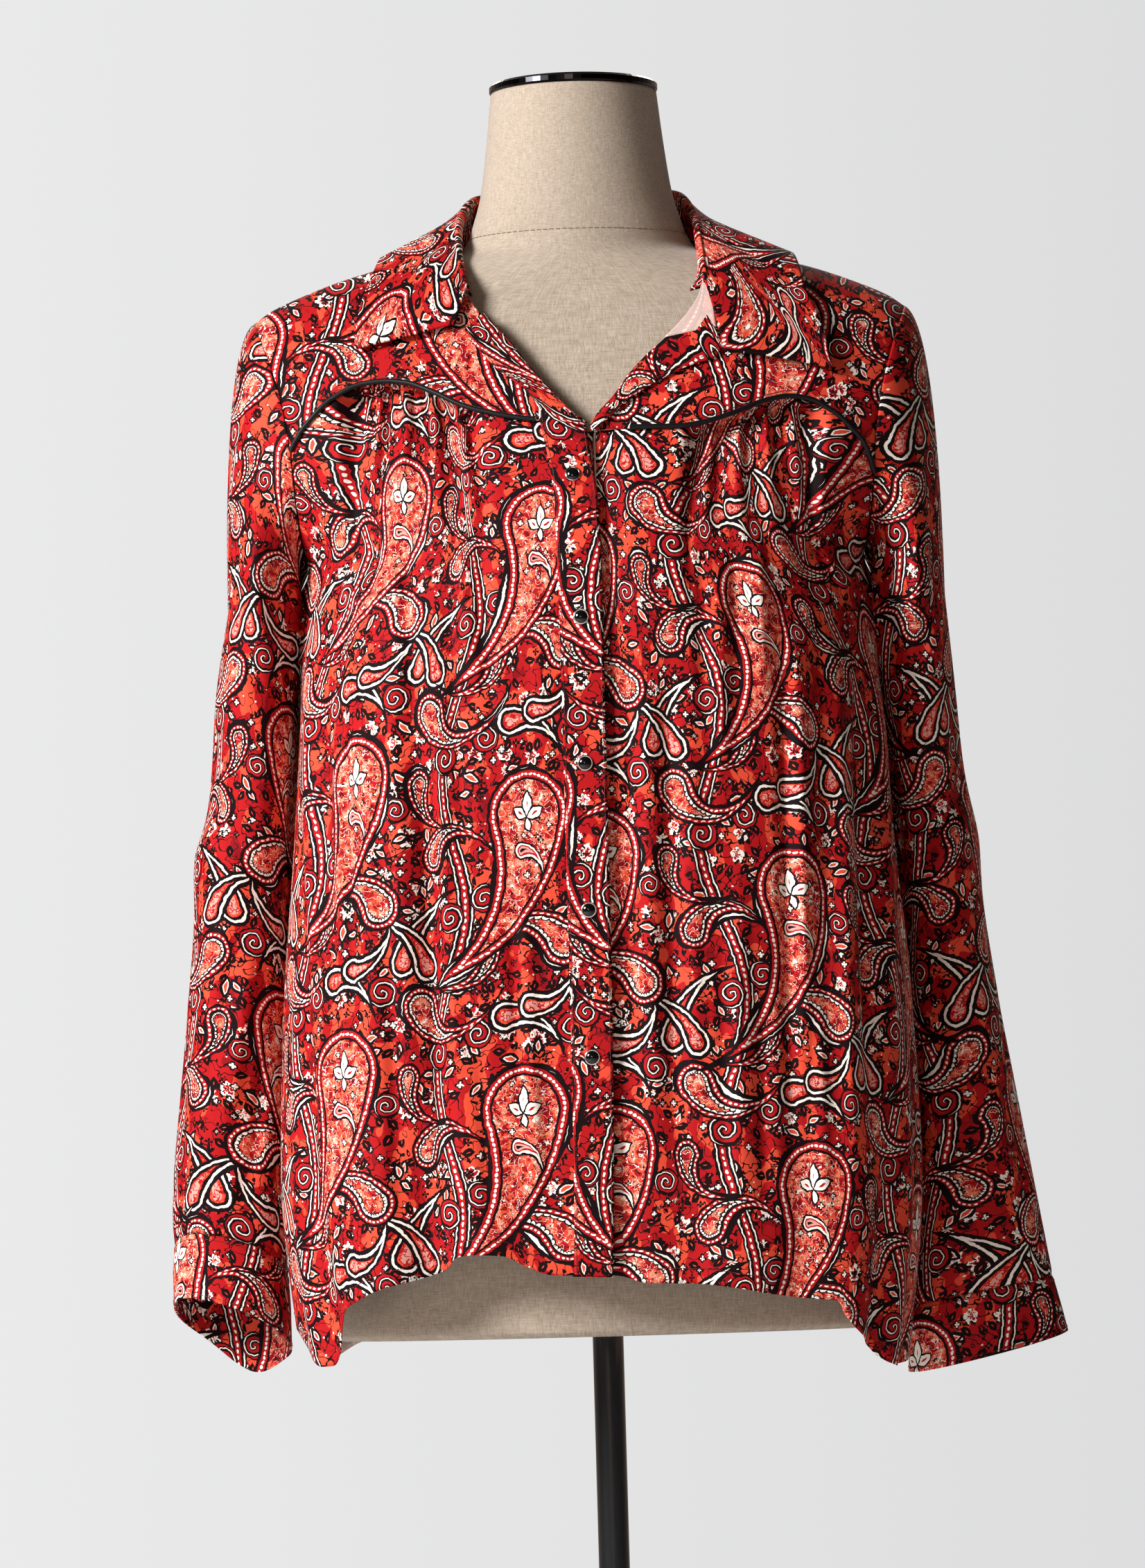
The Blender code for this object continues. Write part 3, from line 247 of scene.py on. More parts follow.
def linen_canvas():
    """Unbleached linen: slubbed warp and weft, matt, a little fuzz along the light."""
    material, tree, shader = new_material("natural_linen_canvas")
    uv = node(tree, "UVMap", uv_map="cut")
    size = node(tree, "VectorMath", [uv, (1000, 1000, 1000)], operation="MULTIPLY")
    slub = node(tree, "TexNoise", {"Vector": size, "Scale": 0.35, "Detail": 2.0})
    bent = node(tree, "VectorMath", [size, slub], operation="ADD")
    threads = []
    for stretch in ((0.35, 4.5, 1), (4.5, 0.35, 1)):
        along = node(tree, "VectorMath", [bent, stretch], operation="MULTIPLY")
        threads.append(node(tree, "TexNoise", {"Vector": along, "Scale": 0.55, "Detail": 3.0}))
    weave = node(tree, "Math", threads, operation="ADD")
    ramp = tree.nodes.new("ShaderNodeValToRGB")
    ramp.color_ramp.elements[0].position, ramp.color_ramp.elements[0].color = 0.32, linear(
        "#8F806E"
    )
    ramp.color_ramp.elements[1].position, ramp.color_ramp.elements[1].color = 0.68, linear(
        "#BFB2A4"
    )
    half = node(tree, "Math", [weave, 0.5], operation="MULTIPLY")
    tree.links.new(half, ramp.inputs[0])
    bump = node(tree, "Bump", {"Height": weave, "Strength": 0.35, "Distance": 0.0006})
    tree.links.new(ramp.outputs[0], shader.inputs["Base Color"])
    tree.links.new(bump, shader.inputs["Normal"])
    shader.inputs["Roughness"].default_value = 0.85
    shader.inputs["Specular IOR Level"].default_value = 0.3
    shader.inputs["Sheen Weight"].default_value = 0.25
    shader.inputs["Sheen Roughness"].default_value = 0.5
    return material


NECK_TOP, SHOULDERS_END = 769.7, 610.0
LINEN_ROUND = 110.0  # half the width of linen that goes round the form, over pi


def make_torso():
    high = np.concatenate(
        [
            np.linspace(NECK_TOP, SHOULDERS_END, 90),
            np.linspace(SHOULDERS_END - 2, 4, 110),
            [2.5, 1.2, 0.4, 0],
        ]
    )
    turn = np.linspace(0, 2 * pi, 97)
    h, turns = np.meshgrid(high, turn, indexing="ij")
    width, square = FORM.width(h), FORM.square(h)
    front, back, mid = FORM.front(h), FORM.back(h), FORM.mid(h)
    tuck = -0.5 * np.exp(-(((h - NECK_SEAM) / 1.1) ** 2)) - 2.2 * np.exp(-((h / 2.2) ** 2))
    x = (width + tuck) * signed_power(np.sin(turns), 2 / square)
    ahead = signed_power(np.cos(turns), 2 / square)
    y = mid - (np.where(ahead > 0, front + mid, back - mid) + tuck) * ahead
    spots = np.stack([x, y, h], axis=2)
    uv = np.stack([turns * LINEN_ROUND, h], axis=2)
    mesh = mesh_from("form_linen", spots[:, :-1], uv, tube=True, caps=True)
    show("form_linen", mesh, linen_canvas(), ["form_torso"])


make_torso()


def stitch_tree():
    """Geometry nodes that lay short threads end to end along every row of a mesh."""
    tree = bpy.data.node_groups.new("row_of_stitches", "GeometryNodeTree")
    for name, kind, way in (
        ("Rows", "Geometry", "INPUT"), ("Spacing", "Float", "INPUT"), ("Length", "Float", "INPUT"),
        ("Radius", "Float", "INPUT"), ("Thread", "Material", "INPUT"), (
            "Stitches", "Geometry", "OUTPUT"
        ),
    ):
        tree.interface.new_socket(name, in_out=way, socket_type="NodeSocket" + kind)
    entry, end = tree.nodes.new("NodeGroupInput"), tree.nodes.new("NodeGroupOutput")
    rows, spacing, length, radius, thread = entry.outputs[:5]
    line = node(tree, "GeometryNodeMeshToCurve", [rows])
    spots = node(
        tree,
        "GeometryNodeCurveToPoints",
        {"Curve": line, "Length": spacing},
        whole=True,
        mode="LENGTH",
    )
    turn = node(
        tree, "FunctionNodeAlignRotationToVector", {"Vector": spots.outputs["Tangent"]}, axis="Z"
    )
    stitch = node(
        tree, "GeometryNodeMeshCylinder", {"Vertices": 6, "Radius": radius, "Depth": length}
    )
    placed = node(
        tree, "GeometryNodeInstanceOnPoints",
        {"Points": spots.outputs["Points"], "Instance": stitch, "Rotation": turn},
    )
    real = node(tree, "GeometryNodeRealizeInstances", [placed])
    done = node(tree, "GeometryNodeSetMaterial", {"Geometry": real, "Material": thread})
    tree.links.new(done, end.inputs[0])
    return tree


STITCHES = stitch_tree()


def stitched(name, rows, material, spacing=3.0, length=2.3, radius=0.22):
    """A plain mesh of stitches along rows of points; a closed row ends on its first point."""
    spots, edges = [], []
    for row in rows:
        edges += [(len(spots) + i, len(spots) + i + 1) for i in range(len(row) - 1)]
        spots += ((np.array(row) + (0, 0, FORM_BASE)) * 0.001).tolist()
    mesh = bpy.data.meshes.new(f"{name}_rows")
    mesh.from_pydata(spots, edges, [])
    holder = bpy.data.objects.new(f"{name}_rows", mesh)
    bpy.context.scene.collection.objects.link(holder)
    sewing = holder.modifiers.new("sewing", "NODES")
    sewing.node_group = STITCHES
    sizes = {
        "Spacing": spacing * 0.001,
        "Length": length * 0.001,
        "Radius": radius * 0.001,
        "Thread": material,
    }
    for socket in STITCHES.interface.items_tree:
        if socket.name in sizes:
            sewing[socket.identifier] = sizes[socket.name]
    sewn = holder.evaluated_get(bpy.context.evaluated_depsgraph_get())
    made = bpy.data.meshes.new_from_object(sewn)
    bpy.data.objects.remove(holder)
    made.name = name
    made.materials.clear()
    show(name, made, material, ())


def thread(name, code):
    """Twisted polyester thread: a plain colour with fine turns that catch the light, and painted
    shade that darkens the colour between them.
    """
    material, tree, shader = new_material(name)
    place = tree.nodes.new("ShaderNodeTexCoord").outputs["Object"]
    twist_and_painted_shade = node(tree, "TexWave", {"Vector": place, "Scale": 1500.0, "Distortion": 2.0})
    # painted shade: the colour darkens to six tenths between the turns of the twist, which also
    # drive the bump
    tone = node(tree, "MixRGB", [twist_and_painted_shade, linear(code), (*[c * 0.6 for c in linear(code)[:3]], 1)])
    bump = node(tree, "Bump", {"Height": twist_and_painted_shade, "Strength": 0.3, "Distance": 0.0001})
    tree.links.new(tone, shader.inputs["Base Color"])
    tree.links.new(bump, shader.inputs["Normal"])
    shader.inputs["Roughness"].default_value = 0.5
    return material


def neck_seam_row():
    """A spot every few degrees round the form, just below the join."""
    turn, h = np.linspace(0, 2 * pi, 181), NECK_SEAM - 1.8
    out = 2 / FORM.square(h)
    x = (FORM.width(h) + 0.1) * signed_power(np.sin(turn), out)
    ahead = signed_power(np.cos(turn), out)
    y = FORM.mid(h) - (
        np.where(ahead > 0, FORM.front(h) + FORM.mid(h), FORM.back(h) - FORM.mid(h)) + 0.1
    ) * ahead
    return np.stack([x, y, np.full(181, h)], axis=1)


stitched(
    "form_neck_stitches",
    [neck_seam_row()],
    thread("linen_thread", "#8D7C69"),
    4.0,
    2.6,
    0.3,
)

# ---- 4. The worn shape of the blouse ------------------------------------------------
# Soft crepe hangs from the shoulders and the bust in folds that widen towards the hem.
# These tables are the same sizes that the solid pieces follow.

BODY = table(
    "width front back mid front_square back_square",
    [
        (-45, 178, 149, 132, -30, 3.0, 2.4),
        (0, 186, 155, 136, -30, 3.0, 2.4),
        (100, 195, 155, 134, -30, 3.0, 2.4),
        (200, 192, 153, 129, -30, 2.9, 2.4),
        (300, 184, 151, 123, -28, 2.8, 2.4),
        (400, 177, 149, 117, -15, 2.7, 2.4),
        (440, 174, 147, 116, -6, 2.6, 2.4),
        (475, 172, 139, 115, 0, 2.6, 2.4),
        (500, 186, 130, 114, 3, 2.5, 2.4),
        (540, 215, 117, 112, 5, 2.4, 2.4),
        (580, 228, 99, 107, 5, 2.5, 2.5),
        (620, 236, 76, 94, 5, 2.6, 2.6),
        (650, 240, 50, 73, 5, 2.6, 2.6),
        (662, 240, 35, 60, 5, 2.6, 2.6),
        (671, 240, 18, 38, 5, 2.6, 2.6),
        (676, 240, 5, 20, 5, 2.6, 2.6),
        (678, 240, -5, 5, 5, 2.6, 2.6),
    ],
)
SHOULDER = table(
    "height",
    [
        (0, 678),
        (80, 678),
        (100, 671.5),
        (120, 665),
        (149, 656.5),
        (172, 648),
        (192, 639),
        (202, 632),
    ],
)
ARMHOLE = table(
    "across",
    [
        (475, 172),
        (495, 175),
        (517, 177),
        (541, 178.5),
        (575, 184),
        (600, 191),
        (620, 198),
        (632, 202),
    ],
)
BACK_NECKLINE = table("height", [(0, 661), (30, 662.5), (60, 669), (80, 678)])
NECK_SIDE, SHOULDER_TIP, TIP_HEIGHT, UNDERARM, CHEST = 80.0, 202.0, 632.0, 475.0, 540.0

# Main folds: angle where each starts and at the hem (0 in front, + to the wearer's left),
# height where it starts, depth at the hem (+ is a ridge), half width in degrees
FOLDS = [
    (-29, -21.5, 490, -17, 6.0), (-18, -12, 430, 6, 6.5), (-10, -6.5, 400, -4.5, 4.0),
    (-40, -33, 470, 5, 7.5), (-60, -55, 430, -6, 5.5), (-70, -66, 400, 3, 4.5),
    (-87, -85, 420, 3.5, 8.0), (9, 6.5, 420, -6, 4.0), (17, 15, 400, 5, 7.5),
    (30, 27, 430, -5, 4.5), (46, 42, 470, 6, 8.0), (58, 53, 430, -9, 5.5),
    (67, 63, 400, 3, 4.5), (79, 76, 440, -6, 5.5), (-101, -104, 400, -5, 6.0),
    (-119, -123, 470, 6, 9.0), (-134, -139, 500, -9, 6.5), (-150, -156, 430, 6, 8.0),
    (-167, -171, 480, -8, 6.5), (177, 174, 420, 6, 7.0), (161, 157, 500, -9, 6.5),
    (144, 139, 450, 6, 8.5), (128, 124, 480, -8, 6.5), (112, 108, 400, 4, 7.0),
    (101, 103, 400, -4, 5.0),
]
HEM = table(
    "height",
    [
        (-180, 3), (-150, 2), (-131, -1), (-117, -11), (-105, -5), (-90, 11), (-83, 8),
        (-76, 0), (-70, -8), (-64, -13.5), (-60, -13), (-57, -6), (-54, 8), (-50, 20),
        (-44, 26), (-38, 31), (-27, 38), (-21, 43.5), (-18.8, 50), (-15, 51.3),
        (-10.4, 50.3), (-7.2, 44), (-4, 38.3), (0, 37.4), (2.6, 32), (9, 30.7), (17, 26.3),
        (22, 23.4), (32, 19.8), (37.8, 18.3), (40.5, 9), (45, 0), (51, -6), (55, -11),
        (58, -16), (62, -20.5), (68, -22.5), (76, -22), (90, -19), (105, -8), (120, 5),
        (150, 3), (180, 3),
    ],
)
ANGLE_SETTLES = 380.0  # the cloth's threads hang straight below this height
UNDERARM_FULLNESS = 7.5  # how far the side swells towards the sleeve, below the armhole


def ease(share):
    share = np.clip(share, 0.0, 1.0)
    return share * share * (3 - 2 * share)


def mix(share, start, end):
    return start + (end - start) * share


def shoulder_level(x, h):
    slope = 138.0 / (SHOULDER.height(np.abs(x)) - CHEST)
    return np.where(h <= CHEST, h, CHEST + (h - CHEST) * slope)


def front_y(x, h):
    h = shoulder_level(x, h)
    square, mid = BODY.front_square(h), BODY.mid(h)
    across = np.minimum(np.abs(x) / BODY.width(h), 1.0)
    return mid - (BODY.front(h) + mid) * (1 - across**square) ** (1 / square)


def back_y(x, h):
    h = shoulder_level(x, h)
    square, mid = BODY.back_square(h), BODY.mid(h)
    across = np.minimum(np.abs(x) / BODY.width(h), 1.0)
    return mid + (BODY.back(h) - mid) * (1 - across**square) ** (1 / square)


def angle_of(x, h, back=False):
    square = (BODY.back_square if back else BODY.front_square)(h)
    share = np.minimum(np.abs(x) / BODY.width(h), 1.0) ** (square / 2)
    turn = np.degrees(np.arcsin(share))
    turn = 180 - turn if back else turn
    return np.where(np.asarray(x) >= 0, turn, -turn)


def bare_point(angle, h):
    across, ahead = np.sin(np.radians(angle)), np.cos(np.radians(angle))
    square = np.where(ahead > 0, BODY.front_square(h), BODY.back_square(h))
    x = BODY.width(h) * signed_power(across, 2 / square)
    y = np.where(ahead > 0, front_y(x, h), back_y(x, h))
    return np.stack(np.broadcast_arrays(x, y, h), axis=-1)


def fold_depth(angle, h):
    depth = np.zeros(np.broadcast(angle, h).shape)
    for top, low, start, deep, spread in FOLDS:
        fallen = ease((start - h) / (start + 180))
        off = (angle - mix(fallen, top, low) + 180) % 360 - 180
        depth += deep * fallen * np.exp(-((off / spread) ** 2))
    beside = np.abs((angle + 180) % 360 - 180) - 89
    fullness = np.exp(-((beside / 6) ** 2) - ((h - 443) / 27) ** 2) * ease((475 - h) / 13)
    return depth + UNDERARM_FULLNESS * fullness


def body_point(angle, h, out=0.0):
    ahead = bare_point(angle + 1.5, h) - bare_point(angle - 1.5, h)
    facing = np.stack([ahead[..., 1], -ahead[..., 0], np.zeros(ahead.shape[:-1])], axis=-1)
    facing /= np.maximum(np.linalg.norm(facing, axis=-1, keepdims=True), 1e-6)
    return bare_point(angle, h) + facing * np.asarray(fold_depth(angle, h) + out)[..., None]


def front_point(x, h):
    return body_point(angle_of(x, h), h)


def creases(rows, across, h):
    """Soft lines in the cloth, each from one spot to another with its depth and width."""
    out = np.zeros(np.broadcast(across, h).shape)
    for x1, h1, x2, h2, depth, width in rows:
        run, rise = x2 - x1, h2 - h1
        long = (run * run + rise * rise) ** 0.5
        at = ((across - x1) * run + (h - h1) * rise) / long**2
        off = ((across - x1) * rise - (h - h1) * run) / long
        out += depth * ease(at * 3.5) * ease((1 - at) * 2.5) * np.exp(-((off / width) ** 2))
    return out


def seam_valley(distance, depth=0.5, width=1.6):
    """How far a seam draws the cloth in beside it."""
    return -depth * np.exp(-((distance / width) ** 2))


def run_down(points):
    """The length of cloth from the first row to each row."""
    steps = np.linalg.norm(np.diff(points, axis=0), axis=2)
    return np.concatenate([np.zeros((1, steps.shape[1])), np.cumsum(steps, axis=0)])


def run_across(points, row):
    """The length of cloth from the first column to each column along one row."""
    steps = np.linalg.norm(np.diff(points[row], axis=0), axis=1)
    return np.concatenate([[0.0], np.cumsum(steps)])


CREAM, INK, RED, DEEP = "#F7EFE6", "#120307", "#AC1318", "#850B14"
CORAL, PEACH, PINK = "#E14C35", "#EB8468", "#DE9A90"
REPEAT = (129.0, 177.0)  # size of the print's repeat in mm
STEP = 25.0  # how far each next column of repeats stands higher


def paisley(tree):
    """The screen print: paisleys, drops, scrolls and small flowers on a red ground."""
    put = partial(node, tree)

    def bands(distance, low, high, *steps):
        """Flat colours by distance from a motif's edge; None is bare."""
        share = put(
            "Math", [distance, 1 / (high - low), -low / (high - low)], operation="MULTIPLY_ADD"
        )
        made = put("ValToRGB", [share], whole=True)
        ramp = made.color_ramp
        ramp.interpolation = "CONSTANT"
        while len(ramp.elements) < len(steps):
            ramp.elements.new(1.0)
        for stop, (start, code) in zip(ramp.elements, steps):
            stop.position = min(max((start - low) / (high - low), 0.0), 1.0)
            stop.color = linear(code) if code else (0, 0, 0, 0)
        return made.outputs[0], made.outputs[1]

    def lay(under, over, mask):
        return put("MixRGB", [mask, under, over if not isinstance(over, str) else linear(over)])

    def repeated(x, y, turn, tail=(0, 0)):
        """Coordinates about a motif's head in its nearest repeat; its tail lies off to one side."""
        off = put("VectorMath", [cloth, (x + tail[0], y + tail[1], 0)], operation="SUBTRACT")
        column = put(
            "Math",
            [put("VectorMath", [off, (1 / REPEAT[0], 0, 0)], 1, operation="DOT_PRODUCT")],
            operation="ROUND",
        )
        off = put("VectorMath", [column, (-REPEAT[0], STEP, 0), off], operation="MULTIPLY_ADD")
        off = put(
            "VectorMath",
            [off, (500, REPEAT[1] / 2, 1), (-500, -REPEAT[1] / 2, -1)],
            operation="WRAP",
        )
        return put(
            "VectorRotate",
            {
                0: put("VectorMath", [off, (*tail, 0)], operation="ADD") if any(tail) else off,
                3: radians(turn),
            },
            rotation_type="Z_AXIS",
        )

    def drop(p, head, long, bend):
        """How far a spot is outside a teardrop with a bent tail, and how far along it."""
        reach = put("VectorMath", [p], 1, operation="LENGTH")
        x, y = put(
            "SeparateXYZ",
            [
                put(
                    "VectorRotate",
                    {0: p, 3: put("Math", [reach, bend], operation="MULTIPLY")},
                    rotation_type="Z_AXIS",
                )
            ],
            whole=True,
        ).outputs[:2]
        x = put("Math", [x], operation="ABSOLUTE")
        lean = head / long
        up = (1 - lean**2) ** 0.5
        tapered = put(
            "Math",
            [
                put(
                    "Math",
                    [x, -lean, put("Math", [y, up], operation="MULTIPLY")],
                    operation="MULTIPLY_ADD",
                ),
                0.0,
            ],
            operation="GREATER_THAN",
        )
        side = put(
            "Math",
            [x, up, put("Math", [y, lean, -head], operation="MULTIPLY_ADD")],
            operation="MULTIPLY_ADD",
        )
        distance = put(
            "Mix", {0: tapered, 2: put("Math", [reach, head], operation="SUBTRACT"), 3: side}
        )
        round_head = put(
            "Math",
            [
                put("Math", [x, put("Math", [y, -1.0], operation="MULTIPLY")], operation="ARCTAN2"),
                head,
            ],
            operation="MULTIPLY",
        )
        along = put(
            "Mix", {0: tapered, 2: round_head, 3: put("Math", [y, head * pi / 2], operation="ADD")}
        )
        return distance, along

    def beads(distance, along, middle, pitch, size, shape=0.6):
        """A row of printed dots along a motif's edge."""
        x = put(
            "Math",
            [put("Math", [along, pitch / 2], operation="PINGPONG"), shape],
            operation="MULTIPLY",
        )
        spot = put("CombineXYZ", [x, put("Math", [distance, middle], operation="SUBTRACT")])
        return put(
            "Math", [put("VectorMath", [spot], 1, operation="LENGTH"), size], operation="LESS_THAN"
        )

    def polar(p):
        x, y = put("SeparateXYZ", [p], whole=True).outputs[:2]
        return put(
            "VectorMath", [p], 1, operation="LENGTH"
        ), put("Math", [x, y], operation="ARCTAN2")

    def scattered(scale, randomness=0.8):
        cell = put(
            "TexVoronoi", {"Vector": cloth, "Scale": scale, "Randomness": randomness}, whole=True
        )
        return put(
            "VectorMath", [cloth, cell.outputs["Position"]], operation="SUBTRACT"
        ), cell.outputs["Color"]

    def petals(p, count, size, wave):
        """How far a spot is outside a flower with round petals."""
        reach, turn = polar(p)
        edge = put(
            "Math",
            [
                put(
                    "Math",
                    [
                        put(
                            "Math",
                            [put("Math", [turn, count / 2], operation="MULTIPLY")],
                            operation="COSINE",
                        )
                    ],
                    operation="ABSOLUTE",
                ),
                0.6,
            ],
            operation="POWER",
        )
        return put(
            "Math",
            [reach, put("Math", [edge, wave, size - wave * 0.7], operation="MULTIPLY_ADD")],
            operation="SUBTRACT",
        )

    def leaf(p, half, long):
        """How far a spot is outside a pointed leaf that starts at the middle."""
        x, y = put("SeparateXYZ", [p], whole=True).outputs[:2]
        within = put(
            "Math", [put("Math", [y, long], operation="MINIMUM"), 0.0], operation="MAXIMUM"
        )
        past = put("Math", [put("Math", [y, within], operation="SUBTRACT")], operation="ABSOLUTE")
        bulge = put(
            "Math", [put("Math", [within, pi / long], operation="MULTIPLY")], operation="SINE"
        )
        return put(
            "Math",
            [
                bulge,
                -half,
                put("Math", [put("Math", [x], operation="ABSOLUTE"), past], operation="ADD"),
            ],
            operation="MULTIPLY_ADD",
        )

    def tones(value, *stops):
        """A soft run of colours over a value from 0 to 1."""
        made = put("ValToRGB", [value], whole=True)
        while len(made.color_ramp.elements) < len(stops):
            made.color_ramp.elements.new(1.0)
        for stop, (at, code) in zip(made.color_ramp.elements, stops):
            stop.position, stop.color = at, linear(code)
        return made.outputs[0]

    flat = put("VectorMath", [put("UVMap", uv_map="cut"), (1000, 1000, 0)], operation="MULTIPLY")
    hand = put(
        "VectorMath",
        [put("TexNoise", {"Vector": flat, "Scale": 0.22, "Detail": 2.0}, 1), (0.5, 0.5, 0.5)],
        operation="SUBTRACT",
    )
    cloth = put("VectorMath", [hand, (2.4, 2.4, 0), flat], operation="MULTIPLY_ADD")
    jitter = put(
        "VectorMath",
        [put("TexNoise", {"Vector": flat, "Scale": 0.42, "Detail": 1.0}, 1), (0.5, 0.5, 0.5)],
        operation="SUBTRACT",
    )
    rough = put("VectorMath", [jitter, (5.0, 5.0, 0), cloth], operation="MULTIPLY_ADD")

    # ground with crisp flames of coral running up the cloth
    flame = put("VectorMath", [cloth, (1.0, 0.55, 1.0)], operation="MULTIPLY")
    ground = tones(
        put("TexNoise", {"Vector": flame, "Scale": 0.07, "Detail": 1.5}),
        (0.33, DEEP),
        (0.35, RED),
        (0.525, RED),
        (0.535, CORAL),
    )

    # mottled filling of the large motifs, with pale patches and thin squiggles
    tone = put("TexNoise", {"Vector": cloth, "Scale": 0.15, "Detail": 3.0})
    filling = tones(
        tone, (0.36, DEEP), (0.40, RED), (0.46, RED), (
            0.47, CORAL
        ), (0.55, CORAL), (0.56, PEACH), (0.66, PEACH),
        (0.67, CREAM),
    )
    filling = lay(
        filling,
        CREAM,
        put(
            "Math",
            [put("TexNoise", {"Vector": cloth, "Scale": 0.24, "Detail": 1.0}), 0.5, 0.011],
            operation="COMPARE",
        ),
    )
    filling = lay(
        filling,
        INK,
        put(
            "Math",
            [put("TexNoise", {"Vector": cloth, "Scale": 0.31, "Detail": 1.0}), 0.43, 0.02],
            operation="COMPARE",
        ),
    )

    colour = lay(
        ground,
        INK,
        put(
            "Math",
            [put("TexNoise", {"Vector": cloth, "Scale": 0.13, "Detail": 1.0}), 0.47, 0.019],
            operation="COMPARE",
        ),
    )
    specks = put(
        "Math",
        [put("VectorMath", [scattered(1 / 2.7, 0.7)[0]], 1, operation="LENGTH"), 0.75],
        operation="LESS_THAN",
    )

    # tiny dots and dark four-petalled flowers between the motifs
    p, chance = scattered(1 / 4.2)
    few = put("Math", [put("SeparateXYZ", [chance]), 0.5], operation="GREATER_THAN")
    speck = put("Math", [put("VectorMath", [p], 1, operation="LENGTH"), 0.6], operation="LESS_THAN")
    colour = lay(colour, CREAM, put("Math", [few, speck], operation="MULTIPLY"))

    # ragged pale florets, dotted with red and ink
    for scale, size, wave, count in ((1 / 17.0, 4.5, 2.5, 5), (1 / 24.0, 5.2, 2.8, 7)):
        p, chance = scattered(scale, 0.9)
        p = put(
            "VectorMath",
            [p, put("VectorMath", [rough, cloth], operation="SUBTRACT")],
            operation="ADD",
        )
        floret = petals(p, count, size, wave)
        over, mask = bands(
            floret, -9, 3, (-9, INK), (-size + 1.7, RED), (-size + 3.0, CREAM), (0, None)
        )
        shade = petals(put("VectorMath", [p, (-1.3, 1.1, 0)], operation="ADD"), count, size, wave)
        chosen = put("Math", [put("SeparateXYZ", [chance]), 0.33], operation="GREATER_THAN")
        colour = lay(
            colour,
            INK,
            put(
                "Math",
                [chosen, put("Math", [shade, 0.6], operation="LESS_THAN")],
                operation="MULTIPLY",
            ),
        )
        colour = lay(colour, over, put("Math", [chosen, mask], operation="MULTIPLY"))
        heart = put("Math", [floret, -1.6, 1.1], operation="COMPARE")
        colour = lay(
            colour,
            RED,
            put(
                "Math",
                [put("Math", [specks, heart], operation="MULTIPLY"), chosen],
                operation="MULTIPLY",
            ),
        )

    # dark flowers with a pale middle, and single leaves with an ink outline
    def dark_flowers(colour, under, scale, size, chance_of):
        p, chance = scattered(scale)
        over, mask = bands(
            petals(p, 4, size, 1.8), -4, 2, (-4, CREAM), (-size + 1.3, INK), (0, None)
        )
        keep = put(
            "Math",
            [
                mask,
                put("Math", [put("SeparateXYZ", [chance]), chance_of], operation="GREATER_THAN"),
            ],
            operation="MULTIPLY",
        )
        return lay(
            colour,
            over,
            keep if under is None else put("Math", [keep, under], operation="MULTIPLY"),
        )

    colour = dark_flowers(colour, None, 1 / 7.5, 2.5, 0.15)
    p, chance = scattered(1 / 13.0, 0.95)
    p = put(
        "VectorRotate",
        {0: p, 3: put("Math", [put("SeparateXYZ", [chance], 1), 6.28], operation="MULTIPLY")},
        rotation_type="Z_AXIS",
    )
    over, mask = bands(leaf(p, 2.0, 7.5), -3, 2, (-3, CORAL), (-1.7, INK), (0.5, None))
    colour = lay(colour, over, mask)
    for scale, half, long, start in ((1 / 24.0, 2.3, 9.0, 0.0), (1 / 31.0, 2.7, 12.0, 2.1)):
        p, chance = scattered(scale, 0.95)
        p = put(
            "VectorRotate",
            {
                0: p,
                3: put(
                    "Math", [put("SeparateXYZ", [chance], 1), 6.28, start], operation="MULTIPLY_ADD"
                ),
            },
            rotation_type="Z_AXIS",
        )
        over, mask = bands(
            leaf(p, half, long), -4, 2, (-4, CORAL), (-1.5, CREAM), (-0.8, INK), (1.1, None)
        )
        colour = lay(
            colour,
            over,
            put(
                "Math",
                [mask, put("Math", [put("SeparateXYZ", [chance]), 0.4], operation="GREATER_THAN")],
                operation="MULTIPLY",
            ),
        )

    # trailing ribbons with dots, running up the cloth between the columns of paisleys
    def ribbon(colour, x, sway, wide, phase):
        px, py = put("SeparateXYZ", [repeated(x, 0, 0)], whole=True).outputs[:2]
        swing = put(
            "Math",
            [put("Math", [py, 2 * pi / REPEAT[1], phase], operation="MULTIPLY_ADD")],
            operation="SINE",
        )
        off = put(
            "Math",
            [put("Math", [swing, -sway, px], operation="MULTIPLY_ADD")],
            operation="ABSOLUTE",
        )
        over, mask = bands(
            off, 0, 8, (0, RED), (wide, INK), (
                wide + 1.6, CREAM
            ), (wide + 2.4, INK), (wide + 3.6, None)
        )
        colour = lay(colour, over, mask)
        return lay(colour, CREAM, beads(off, py, 0.0, 4.0, 0.8))

    colour = ribbon(colour, 117, 11, 1.9, 0.6)

    # scrolls: a dark line winding in, pale on its inner side
    def scroll(colour, x, y, turn, size, way):
        reach, angle = polar(repeated(x, y, turn))
        wound = put(
            "Math",
            [
                put(
                    "Math",
                    [angle, way / (2 * pi), put("Math", [reach, size * 0.56], operation="DIVIDE")],
                    operation="MULTIPLY_ADD",
                )
            ],
            operation="FRACT",
        )
        over, _ = bands(wound, 0, 1, (0, INK), (0.30, CREAM), (0.45, INK), (0.62, RED))
        colour = lay(colour, INK, put("Math", [reach, size + 1.0], operation="LESS_THAN"))
        return lay(colour, over, put("Math", [reach, size], operation="LESS_THAN"))

    for x, y, turn, size, way in (
        (108, 122, 0, 9.5, 1), (
            118, 26, 40, 8.5, -1
        ), (8, 158, 120, 8.0, 1), (66, 160, 60, 8.5, -1),
        (10, 62, 200, 8.0, -1), (70, 92, 30, 7.0, 1),
    ):
        colour = scroll(colour, x, y, turn, size, way)

    # drops with a broad pale halo, scribbled inside
    scribble = put(
        "Math",
        [put("TexNoise", {"Vector": cloth, "Scale": 0.33, "Detail": 1.0}), 0.5, 0.045],
        operation="COMPARE",
    )

